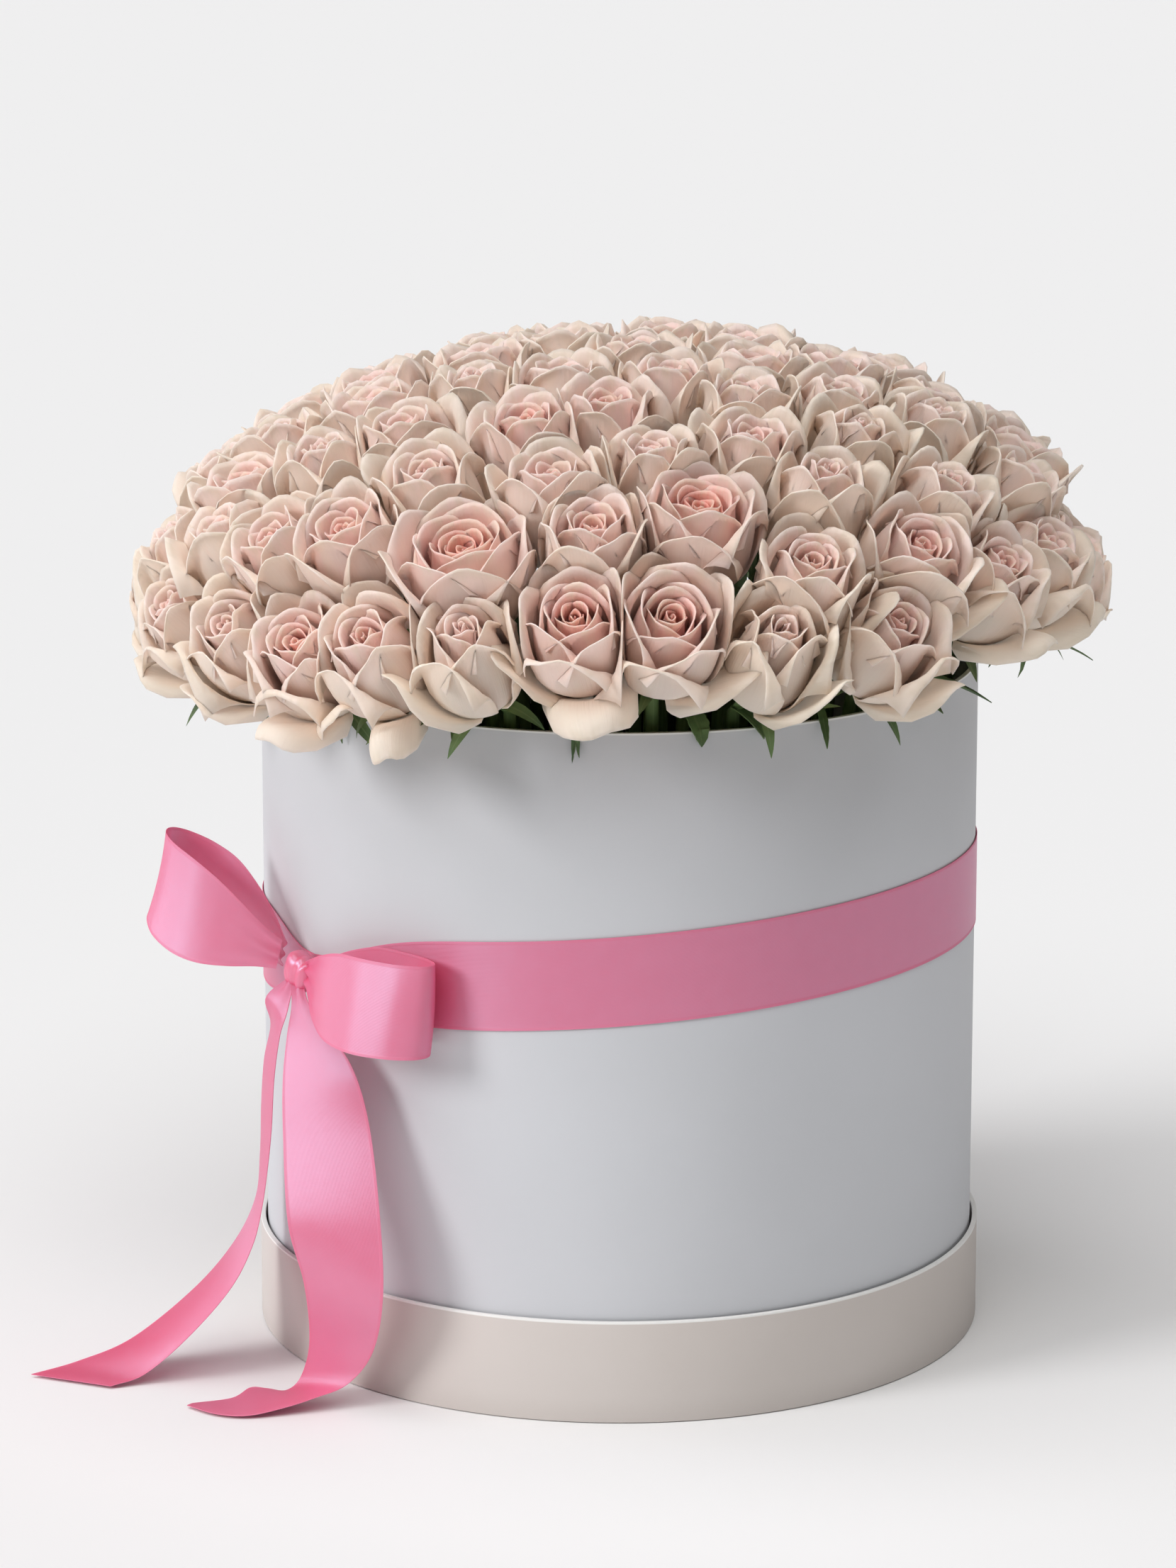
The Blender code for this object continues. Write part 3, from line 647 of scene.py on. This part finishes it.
def bow_knot():
    """The wrap of ribbon round the middle of the bow, drawn tight into folds that meet in a crease."""
    across = Vector((math.cos(KNOT_TURN), math.sin(KNOT_TURN), 0.0))
    away = Vector((math.sin(KNOT_TURN), -math.cos(KNOT_TURN), 0.0))
    centre = away * KNOT_REACH + 2.5 * across + Vector((0.0, 0.0, KNOT_Z))
    half_wide, half_deep, half_tall = 8.0, 5.6, 7.6
    bpy.ops.mesh.primitive_uv_sphere_add(segments=72, ring_count=56, radius=1.0)
    item = bpy.context.object
    item.name = "bow_knot_folds"
    item.data.uv_layers[0].name = FLAT
    for vertex in item.data.vertices:
        x, y, z = vertex.co
        square = (abs(x) ** 3.0 + abs(y) ** 2.4 + abs(z) ** 2.8) ** (-1 / 2.8)
        bend = math.atan2(x - 0.25, 0.9 + 0.5 * z)
        fold = abs(math.sin(4.6 * bend + 0.8 * z)) - 0.5
        crease = math.exp(-((x - 0.32 - 0.2 * z) / 0.16) ** 2)
        push = square * (1.0 + 0.12 * fold - 0.16 * crease)
        vertex.co = Vector((x * half_wide * square, y * half_deep * push, z * half_tall * push)) * MM
    item.data.transform(Matrix.Translation(centre * MM) @ Matrix.Rotation(KNOT_TURN, 4, "Z")
                        @ Matrix.Rotation(math.radians(12), 4, "Y"))
    smooth(item, 60)
    return item


# ---- Where the roses stand -----------------------------------------------------------------------

def on_dome(unit):
    """Points on the dome, in metres, from directions out of its middle."""
    x = DOME_SHIFT + DOME_REACH * unit[:, 0]
    return np.stack([x, DOME_REACH * unit[:, 1], DOME_Z + DOME_LEAN * x + DOME_RISE * unit[:, 2]], 1)


def kept_on_dome(points):
    """The points put back on the dome, none lower than its lowest row."""
    unit = np.stack([(points[:, 0] - DOME_SHIFT) / DOME_REACH, points[:, 1] / DOME_REACH,
                     (points[:, 2] - DOME_LEAN * points[:, 0] - DOME_Z) / DOME_RISE], 1)
    unit /= np.linalg.norm(unit, axis=1)[:, None]
    unit[:, 2] = np.maximum(unit[:, 2], LOWEST_ROSE)
    flat = np.sqrt(1 - unit[:, 2] ** 2) / np.hypot(unit[:, 0], unit[:, 1])
    unit[:, :2] *= flat[:, None]
    return on_dome(unit)


def spread_crowns():
    """Crowns of all roses: the top one, the front pairs as placed, then pairs spread over the rest."""
    turns = np.radians([rose[:2] for pair in FRONT_PAIRS for rose in pair])
    placed = np.stack([np.sin(turns[:, 1]) * np.sin(turns[:, 0]), -np.sin(turns[:, 1]) * np.cos(turns[:, 0]),
                       np.cos(turns[:, 1])], 1)
    crowns = on_dome(np.vstack([[(0.05, -0.01, 0.9987)], placed]))
    fixed = len(crowns)
    count = 900
    steps = np.arange(count)
    level = 1 - (1 - LOWEST_ROSE) * (steps + 0.5) / count
    angle = steps * math.pi * (3 - math.sqrt(5))
    wide = np.sqrt(1 - level ** 2)
    free = on_dome(np.stack([wide * np.cos(angle), wide * np.sin(angle), level], 1))
    for _ in range(BACK_PAIRS):
        near = np.linalg.norm(free[:, None] - crowns[None], axis=2).min(1)
        centre = free[near.argmax()]
        side = np.array([-centre[1], centre[0], 0.0])
        side *= 0.5 * PRESSED / np.linalg.norm(side)
        crowns = np.vstack([crowns, centre - side, centre + side])
    total = len(crowns)
    wanted = np.full((total, total), APART)
    partner = np.zeros((total, total), bool)
    for k in range(1, total, 2):
        partner[k, k + 1] = partner[k + 1, k] = True
    wanted[partner] = PRESSED
    for _ in range(1200):
        gap = crowns[:, None] - crowns[None]
        far = np.linalg.norm(gap, axis=2) + np.eye(total)
        push = np.where(partner, wanted - far, np.clip(wanted - far, 0, None))
        move = (gap / far[..., None] * push[..., None]).sum(1)
        move[:fixed] = 0
        crowns = np.vstack([crowns[:fixed], kept_on_dome(crowns + 0.15 * move)[fixed:]])
    return crowns


def rose_axes(crowns):
    """Each head leans out with the dome but stands more upright than it, with a little unevenness."""
    level = (crowns[:, 2] - DOME_LEAN * crowns[:, 0] - DOME_Z) / DOME_RISE ** 2
    out = np.stack([(crowns[:, 0] - DOME_SHIFT) / DOME_REACH ** 2 - DOME_LEAN * level,
                    crowns[:, 1] / DOME_REACH ** 2, level], 1)
    out /= np.linalg.norm(out, axis=1)[:, None]
    steps = np.arange(len(crowns))
    tilt = np.degrees(np.arccos(out[:, 2]))
    tilt = np.radians(MOST_TILT * np.tanh(tilt / (1.2 * MOST_TILT)) + 4 * np.sin(steps * 12.9898))
    heading = np.arctan2(out[:, 1], out[:, 0]) + np.radians(6) * np.sin(steps * 78.233)
    return np.stack([np.sin(tilt) * np.cos(heading), np.sin(tilt) * np.sin(heading), np.cos(tilt)], 1)


def head_turns(axes):
    """For each head a turn whose x points downhill and whose z is the stem's line."""
    down = np.array([0.0, 0.0, -1.0]) - axes * -axes[:, 2:]
    down[np.linalg.norm(down, axis=1) < 0.05] = (0.0, -1.0, 0.0)
    down -= axes * (down * axes).sum(1)[:, None]
    down /= np.linalg.norm(down, axis=1)[:, None]
    return np.stack([down, np.cross(axes, down), axes], 2)


# ---- Rose heads ----------------------------------------------------------------------------------

def petal_plan(openness, pink, radius, guards, rng):
    """Every petal of one rose from the heart out: where it faces, how far out it stands, how it rolls."""
    count = int(19 + 6 * openness)
    turn = rng.uniform(0, 2 * math.pi)
    spin = rng.choice([-1.0, 1.0])
    plan = []
    for k in range(count):
        t = k / (count - 1)
        turn += spin * math.radians(137.5 + rng.uniform(-9, 9))
        outer = max(0.0, (t - 0.6) / 0.4)
        settled = min(1.0, t / 0.5)
        sunk = (0.10 + 0.10 * openness) * (1 - t) ** 2 * (1.0 if openness > 0.3 else 0.2)
        plan.append({
            "out": t, "face": turn, "heart": max(0.0, 1 - t / 0.22),
            "cup": 1.7 + (radius - 2.2) * (t ** (1.10 - 0.30 * openness)) * (0.92 + 0.08 * openness),
            "span": math.radians(56 + 100 * (1 - t) ** 2.4) * rng.uniform(0.94, 1.06),
            "top": HEAD_TALL * (0.97 - sunk - 0.10 * outer ** 2 * (0.4 + openness)) + rng.uniform(-0.8, 0.8),
            "lean": math.radians(95 - 4 * settled - outer * (2 + 9 * openness) + rng.uniform(-1.5, 1.5)),
            "pull": (0.42 - 0.30 * openness) * (1 - 0.85 * outer ** 1.5),
            "lip": (1.3 + 3.4 * settled + 5.0 * outer) * rng.uniform(0.85, 1.15),
            "roll": math.radians(18 + 34 * settled + 62 * outer * rng.uniform(0.25, 1.15)),
            "spiral": (0.55 + 0.5 * t) * spin, "wave": (0.10 + 0.55 * outer) * rng.uniform(0.5, 1.3),
            "phase": rng.uniform(0, 2 * math.pi, 3), "pink": pink, "seed": rng.uniform(0, 1), "hang": 0.0,
            "wide": 28.0, "round": 0.10 + 0.17 * t, "flare": 2.4 * max(0.0, t - 0.35) * rng.uniform(0.5, 1.3),
        })
    for face, hang, wide in guards:
        plan.append({
            "out": 1.0, "face": math.radians(face), "heart": 0.0, "cup": radius + 0.6,
            "span": math.radians(62), "top": 0.80 * HEAD_TALL, "lean": math.radians(86), "lip": 5.0,
            "roll": math.radians(24), "pull": 0.0,
            "spiral": 0.4 * spin, "wave": rng.uniform(0.6, 1.1), "phase": rng.uniform(0, 2 * math.pi, 3),
            "pink": 0.25 * pink, "seed": rng.uniform(0, 1), "hang": math.radians(hang), "wide": wide,
            "flare": 1.0, "round": 0.62,
        })
    return plan


def petal_points(petal, u, v, fine=48):
    """One petal's points on the head's own axes (mm): out of the base, up the cup, then rolled over."""
    lines = np.unique(u)
    edge = np.abs(lines)
    foot = 1.2 + 0.16 * petal["cup"]
    lowest = math.radians(6 + 10 * petal["out"])
    bend = petal["lean"] - lowest
    gain = max(0.12 * bend, math.sin(petal["lean"]) - math.sin(lowest))
    bowl = max(2.0, (petal["cup"] - foot) * bend / gain)
    rise = bowl * (math.cos(lowest) - math.cos(petal["lean"])) / bend
    stand = max(2.0, (petal["top"] - rise) / max(0.25, math.sin(petal["lean"])))
    reach = bowl + stand + 0.35 * petal["lip"]
    length = reach * (1 - petal["round"] * edge ** 2.3 * (1 - 0.75 * petal["heart"]))
    length = length + 0.09 * petal["lip"] * np.exp(-(lines / 0.16) ** 2)
    length = length * (1 + 0.010 * np.sin(2.3 * math.pi * lines + petal["phase"][0]))
    way = (np.arange(fine)[:, None] + 0.5) / fine * length
    lip = petal["lip"] * (1 + 0.55 * edge ** 2)
    rolled = petal["roll"] * (0.80 + 0.45 * edge ** 2 + 0.12 * np.sin(3.1 * lines + petal["phase"][1]))
    closing = 2 * petal["pull"] * petal["cup"] / stand
    angle = np.where(way < bowl, lowest + bend * way / bowl, petal["lean"] + closing * (way - bowl) / stand)
    angle = angle - rolled * np.clip((way - length + lip) / lip, 0, 1) ** 1.15
    angle = angle - petal["hang"] * np.clip((way / length - 0.42) / 0.58, 0, 1) ** 0.75
    step = length / fine
    out = np.vstack([np.full((1, len(lines)), foot), foot + np.cumsum(np.cos(angle) * step, 0)])
    up = np.vstack([np.zeros((1, len(lines))), np.cumsum(np.sin(angle) * step, 0)])
    column = np.searchsorted(lines, u)
    row = (1 - (1 - v) ** 1.45) * fine
    low = np.minimum(row.astype(int), fine - 1)
    part = row - low
    r = out[low, column] * (1 - part) + out[low + 1, column] * part
    z = up[low, column] * (1 - part) + up[low + 1, column] * part
    v = row / fine
    broad = min(petal["cup"] * petal["span"], petal["wide"])
    broad = broad * (0.42 + 0.58 * np.sin(np.clip(v / 0.66, 0, 1) * math.pi / 2))
    broad = broad * (1 - 0.10 * np.clip((v - 0.7) / 0.3, 0, 1) ** 2)
    around = petal["face"] + u * np.minimum(broad / np.maximum(r, 1.0), petal["span"] * 1.05)
    r = r + petal["spiral"] * u * (0.35 + 0.65 * v) * min(1.0, petal["cup"] / 4.0)
    r = r + petal["flare"] * np.clip((np.abs(u) - 0.45) / 0.55, 0, 1) ** 2 * v ** 1.5
    r = np.maximum(r + petal["wave"] * v ** 3 * np.sin(2.2 * math.pi * u + petal["phase"][2]), 0.3)
    return np.stack([r * np.cos(around), r * np.sin(around), z], 1), v


def pressed(points, k, crowns, axes, radii, soft=6.0):
    """Petals pushed flat where they meet a neighbour's, each head keeping its side of the meeting face."""
    far = np.linalg.norm(crowns - crowns[k], axis=1)
    for j in np.nonzero((far < NEIGHBOUR) & (far > 0))[0]:
        depth = np.clip(-(points - crowns[k]) @ axes[k], -4.0, HEAD_LENGTH)[:, None]
        own, other = crowns[k] - axes[k] * depth, crowns[j] - axes[j] * depth
        way = other - own
        span = np.maximum(np.linalg.norm(way, axis=1), 1.0)
        way = way / span[:, None]
        limit = span * radii[k] / (radii[k] + radii[j]) + 0.8
        reach = ((points - own) * way).sum(1)
        past = reach - (limit - soft)
        kept = np.where(past > 0, limit - soft + soft * (1 - np.exp(-np.maximum(past, 0) / soft)), reach)
        points = points + way * (kept - reach)[:, None]
    return points


def gathered_in(points, reach=198.0, soft=9.0):
    """Outermost points drawn in, so that the dome keeps its outline."""
    far = np.hypot(points[:, 0], points[:, 1])
    kept = np.where(far > reach, reach + soft * (1 - np.exp(-np.maximum(far - reach, 0) / soft)), far)
    drawn = np.array(points)
    drawn[:, :2] *= (kept / np.maximum(far, 1.0))[:, None]
    return drawn


def over_rim(points, gap=1.2):
    """Points kept off the box's rim: they go over it and down outside, or stay within."""
    reach = np.hypot(points[:, 0], points[:, 1])
    away = np.maximum(0.0, np.abs(reach - (BOX_RADIUS - 0.5 * BOARD)) - (0.5 * BOARD + gap))
    lifted = np.array(points)
    lifted[:, 2] = np.maximum(points[:, 2], RIM_Z + gap - 12.0 * away)
    return lifted


def rose_head(name, k, roses, crowns, axes, turns, cage):
    """All petals of one head in one mesh, with the layers that its material reads."""
    openness, pink, radius, guards = roses[k]
    u, v, faces = cage
    parts = []
    rng = np.random.default_rng(400 + k)
    base = crowns[k] - axes[k] * (HEAD_TALL + 1.0)
    radii = np.array([rose[2] for rose in roses])
    for petal in petal_plan(openness, pink, radius, guards, rng):
        points, up = petal_points(petal, u, v)
        points = points @ turns[k].T + base
        if petal["hang"] == 0.0:
            points = pressed(points, k, crowns, axes, radii)
        points = over_rim(gathered_in(points))
        one = np.ones_like(u)
        edge = np.maximum(up, np.abs(u) * np.clip(2.2 * up, 0, 1))
        parts.append({"points": points, "faces": faces,
                      "place": np.stack([one * petal["out"], up, u, one], 1),
                      "tone": np.stack([one * petal["pink"], one * petal["seed"], edge, one], 1)})
    item = joined(name, parts, ("place", "tone"))
    thicken(item, PETAL_THICK)
    smooth(item, 180)
    return item


# ---- Calyx, sepals, stems and leaves -------------------------------------------------------------

def urn_cage():
    """The swollen calyx under a head, shaped from a ball: points on the head's axes (mm)."""
    bpy.ops.mesh.primitive_uv_sphere_add(segments=12, ring_count=8, radius=1.0)
    points, faces = cage_of(bpy.context.object)
    height = points[:, 2]
    size = 4.3 + 1.0 * height - 0.9 * np.clip(-height, 0, 1) ** 2
    size = np.maximum(size, 2.6)
    shaped = np.stack([points[:, 0] * size, points[:, 1] * size, 4.6 * height - 3.2], 1)
    return shaped, faces


def stem_cage(rings=9):
    """A round stem as a grid: how far up (0 to 1) and its unit circle."""
    bpy.ops.mesh.primitive_cylinder_add(vertices=8, radius=1.0, depth=1.0)
    item = bpy.context.object
    select_only(item)
    bpy.ops.object.mode_set(mode="EDIT")
    for ring in range(1, rings):
        bpy.ops.mesh.select_all(action="SELECT")
        bpy.ops.mesh.bisect(plane_co=(0.0, 0.0, ring / rings - 0.5), plane_no=(0.0, 0.0, 1.0))
    bpy.ops.object.mode_set(mode="OBJECT")
    points, faces = cage_of(item)
    return points[:, :2], points[:, 2] + 0.5, faces


def blade(u, v, length, wide, start, rise, end, face, fold, droop=1.0):
    """A sepal or leaf from (reach, height) on the head's axes: it leaves at rise and ends at end degrees."""
    angle = np.radians(rise + (end - rise) * v ** droop)
    rows = np.unique(v)
    steps = np.radians(rise + (end - rise) * rows ** droop)
    gaps = np.diff(rows, prepend=0.0) * length
    out = start[0] + np.cumsum(np.cos(steps) * gaps)
    up = start[1] + np.cumsum(np.sin(steps) * gaps)
    row = np.searchsorted(rows, v)
    half = 0.5 * wide * np.sin(np.clip(0.22 + 0.78 * v, 0, 1) * math.pi) ** 0.9 + 0.12
    side = u * half
    lift = fold * np.abs(u) * half
    r = out[row] - np.sin(angle) * lift
    z = up[row] + np.cos(angle) * lift
    cos, sin = math.cos(face), math.sin(face)
    return np.stack([r * cos - side * sin, r * sin + side * cos, z], 1)


def stem_line(crown, axis, steps):
    """The stem's bent centre line from its foot in the foam to the calyx (mm)."""
    base = crown - axis * (HEAD_TALL + 6.0)
    neck = crown - axis * (HEAD_LENGTH + NECK)
    drawn_in = min(1.0, NECK_REACH / max(math.hypot(neck[0], neck[1]), 1.0))
    height = neck[2] if drawn_in == 1.0 else max(neck[2], NECK_Z)
    neck = np.array([neck[0] * drawn_in, neck[1] * drawn_in, height])
    foot = crown - axis * HEAD_LENGTH
    foot = np.array([foot[0] * FOOT_SPREAD, foot[1] * FOOT_SPREAD, STEM_FOOT_Z])
    t = steps[:, None]
    low = foot + (neck - foot) * np.clip(t / 0.8, 0, 1)
    return np.where(t <= 0.8, low, neck + (base - neck) * (t - 0.8) / 0.2)


def rose_green(name, k, crowns, axes, turns, urn, stem, sepal_cage):
    rng = np.random.default_rng(900 + k)
    base = crowns[k] - axes[k] * (HEAD_TALL + 1.0)

    def placed(points, faces, kind, up, across):
        one = np.ones(len(points))
        return {"points": points, "faces": faces, "place": np.stack([one * kind, up, across, one], 1)}

    circle, up, faces = stem
    line = stem_line(crowns[k], axes[k], up)
    side = np.cross(axes[k], (0.0, 0.0, 1.0)) + np.array([0.001, 0.0, 0.0])
    side /= np.linalg.norm(side)
    ahead = np.cross(side, (0.0, 0.0, 1.0))
    ahead /= np.linalg.norm(ahead)
    thick = STEM_RADIUS * (1.0 + 0.12 * up)[:, None]
    round_it = thick * (circle[:, :1] * side + circle[:, 1:] * ahead)
    parts = [placed(line + round_it, faces, 0.8, up, circle[:, 0])]
    points, faces = urn
    height = points[:, 2]
    parts.append(placed(points @ turns[k].T + base, faces, 0.3, 0.5 + height / 20, np.full(len(height), 0.5)))
    u, v, faces = sepal_cage
    for s in range(5):
        face = 2 * math.pi * (s + 0.15 * rng.uniform(-1, 1)) / 5 + 0.4 * rng.uniform(-1, 1)
        ends = rng.uniform(-75, 35)
        points = blade(u, v, rng.uniform(23, 31), rng.uniform(5.0, 6.6), (4.2, 0.2), rng.uniform(5, 35),
                       ends, face, rng.uniform(0.15, 0.4), rng.uniform(0.8, 1.6))
        points = over_rim(points @ turns[k].T + base, 1.0)
        parts.append(placed(points, faces, 0.1 * s, v, u))
    item = joined(name, parts, ("place",))
    smooth(item, 60)
    return item


def leaf(name, heading, reach, height, fall, twist, length, wide, cage):
    """One leaflet or long sepal at the rim, folded on its rib, with a toothed edge."""
    u, v, faces = cage
    teeth = 1.0 + 0.06 * np.abs(u) * np.cos(2 * math.pi * 9 * v)
    points = blade(u * teeth, v, length, wide * length, (0.0, 0.0), -fall * 0.4, -fall * 1.4,
                   math.radians(twist), 0.35)
    turn = math.radians(heading)
    out = np.array([math.sin(turn), -math.cos(turn), 0.0])
    side = np.array([math.cos(turn), math.sin(turn), 0.0])
    upright = np.array([0.0, 0.0, 1.0])
    points = points[:, :1] * out + points[:, 1:2] * side + points[:, 2:] * upright
    points = over_rim(points + out * (reach - 0.35 * length) + upright * height, 1.0)
    one = np.ones_like(u)
    part = {"points": points, "faces": faces, "place": np.stack([one * 0.2, v, u, one], 1)}
    item = joined(name, [part], ("place",))
    thicken(item, LEAF_THICK)
    smooth(item, 60)
    return item


# ---- Building ------------------------------------------------------------------------------------

def build_box():
    white = board_finish("white wrapped board", (0.640, 0.652, 0.682), (0.610, 0.622, 0.648),
                         BOX_FOOT_Z * MM, RIM_Z * MM)
    # The lid is the same white board as the box. Its warmer tint is a painted warm reflection from the floor.
    warm = board_finish("white lid board with painted warm reflection", (0.655, 0.602, 0.568), (0.622, 0.568, 0.530),
                        0.0, LID_HEIGHT * MM)
    finished(board_tube("box_shell", BOX_RADIUS, BOX_FOOT_Z, RIM_Z), white, "box_board", "box", "box_wall")
    finished(board_tube("lid_shell", LID_RADIUS, 0.0, LID_HEIGHT), warm, "lid_board", "lid", "lid_rim")
    for name, finish in (("box_base", white), ("lid_panel", warm), ("liner_tub", tub_finish()),
                         ("foam_block", foam_finish())):
        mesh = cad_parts[name].data
        mesh.materials.clear()
        mesh.materials.append(finish)


def build_ribbon():
    satin = satin_finish()
    item, length = ribbon_strip("ribbon_band_satin", band_edges(97), 289, 9, 2.0, 0.0, 20.0, True)
    finished(item, satin, "pink_satin", "box", "ribbon_band")
    finished(bow_knot(), satin, "pink_satin", "box", "bow_knot")
    strips = (
        ("bow_loop_left_satin", "bow_loop_left", loop_left_edges(), 2.5, 0.9, 11.0, True, "folded", 1.0),
        ("bow_loop_right_satin", "bow_loop_right", loop_right_edges(), 2.5, 0.9, 11.0, True, "folded", 0.8),
        ("ribbon_tail_front_satin", "ribbon_tail_front", TAIL_FRONT, 1.5, 1.0, 14.0, False, "hung", 1.2),
        ("ribbon_tail_left_satin", "ribbon_tail_left", TAIL_LEFT, 1.5, 0.6, 14.0, False, "hung", 1.0),
    )
    for name, stands_for, edges, pleats, depth, fade, both, held, cup in strips:
        item, length = ribbon_strip(name, edges, 121, 17, pleats, depth, fade, both, cup)
        finished(item, satin, "pink_satin", "box", stands_for)


def build_roses():
    petal, green = petal_finish(), green_finish()
    crowns = spread_crowns()
    axes = rose_axes(crowns)
    turns = head_turns(axes)
    crowns = crowns / MM
    rng = np.random.default_rng(7)
    roses = [(0.5, 0.5, 23.0, ())]
    for pair in FRONT_PAIRS:
        for heading, drop, radius, openness, pink in pair:
            roses.append((openness, pink, radius + PETALS_OUT, GUARD_PETALS.get((heading, drop), ())))
    while len(roses) < len(crowns):
        low = crowns[len(roses), 2] < 345.0
        hangs = rng.uniform(20, 75, 2)
        guards = ((rng.uniform(-50, 50), hangs[0], 22.0),) if low else ()
        roses.append((rng.uniform(0.2, 0.8), rng.uniform(0.15, 0.75), rng.uniform(24.5, 27.0), guards))
    fine, coarse = grid_cage(12, 11), grid_cage(9, 9)
    urn, stem, sepals = urn_cage(), stem_cage(), grid_cage(3, 9)
    for k in range(len(crowns)):
        number = "%02d" % (k + 1)
        pair = "rose_top" if k == 0 else "rose_pair_%02d" % ((k + 1) // 2)
        cage = fine if k <= 2 * len(FRONT_PAIRS) else coarse
        head = rose_head("rose_head_" + number, k, roses, crowns, axes, turns, cage)
        finished(head, petal, "petal", "box", pair)
        greenery = rose_green("rose_green_" + number, k, crowns, axes, turns, urn, stem, sepals)
        finished(greenery, green, "green", "box", pair)
    leaf_cage = grid_cage(7, 15)
    for k, row in enumerate(LEAVES):
        finished(leaf("rim_leaf_%02d" % (k + 1), *row, leaf_cage), green, "green", "box")


def build_stage():
    """Floor, soft lights and camera."""
    bpy.ops.mesh.primitive_plane_add(size=60.0, location=(0.0, 0.0, -0.0004))
    floor = bpy.context.object
    floor.name = "studio_floor"
    made, _, shader = new_material("pale studio floor", 0.9)
    shader.inputs["Base Color"].default_value = (0.88, 0.88, 0.88, 1.0)
    shader.inputs["Specular IOR Level"].default_value = 0.0
    floor.data.materials.append(made)
    for name, strength, spread, elevation, heading, colour in (
            ("ceiling softbox", 2.22, 70, 70, -14, (1.0, 1.0, 1.0)),
            ("window softbox", 1.45, 21, 24, -64, (1.0, 0.985, 0.99)),
            ("side window", 0.66, 34, 16, -114, (0.96, 0.96, 1.0)),
            ("back fill", 0.18, 90, 30, 130, (1.0, 0.92, 0.85))):
        lamp = bpy.data.lights.new(name, "SUN")
        lamp.energy = strength
        lamp.angle = math.radians(spread)
        lamp.color = colour
        item = bpy.data.objects.new(name, lamp)
        bpy.context.scene.collection.objects.link(item)
        turn, rise = math.radians(heading), math.radians(elevation)
        come = Vector((math.sin(turn) * math.cos(rise), -math.cos(turn) * math.cos(rise), math.sin(rise)))
        item.rotation_euler = come.to_track_quat("Z", "Y").to_euler()
    world = bpy.data.worlds.new("studio")
    world.use_nodes = True
    world.node_tree.nodes["Background"].inputs[0].default_value = (0.93, 0.95, 1.0, 1.0)
    world.node_tree.nodes["Background"].inputs[1].default_value = 0.05
    bpy.context.scene.world = world
    camera = bpy.data.cameras.new("camera")
    camera.lens = 139.07
    camera.sensor_width = 36.0
    camera.clip_end = 100.0
    view = bpy.data.objects.new("camera", camera)
    bpy.context.scene.collection.objects.link(view)
    view.location = (-0.0132, -2.4745, 0.8463)
    view.rotation_euler = (math.pi / 2 - 0.2445, 0.0, 0.0)
    bpy.context.scene.camera = view
    bpy.context.scene.view_settings.view_transform = "Standard"


build_box()
build_ribbon()
build_roses()
build_stage()
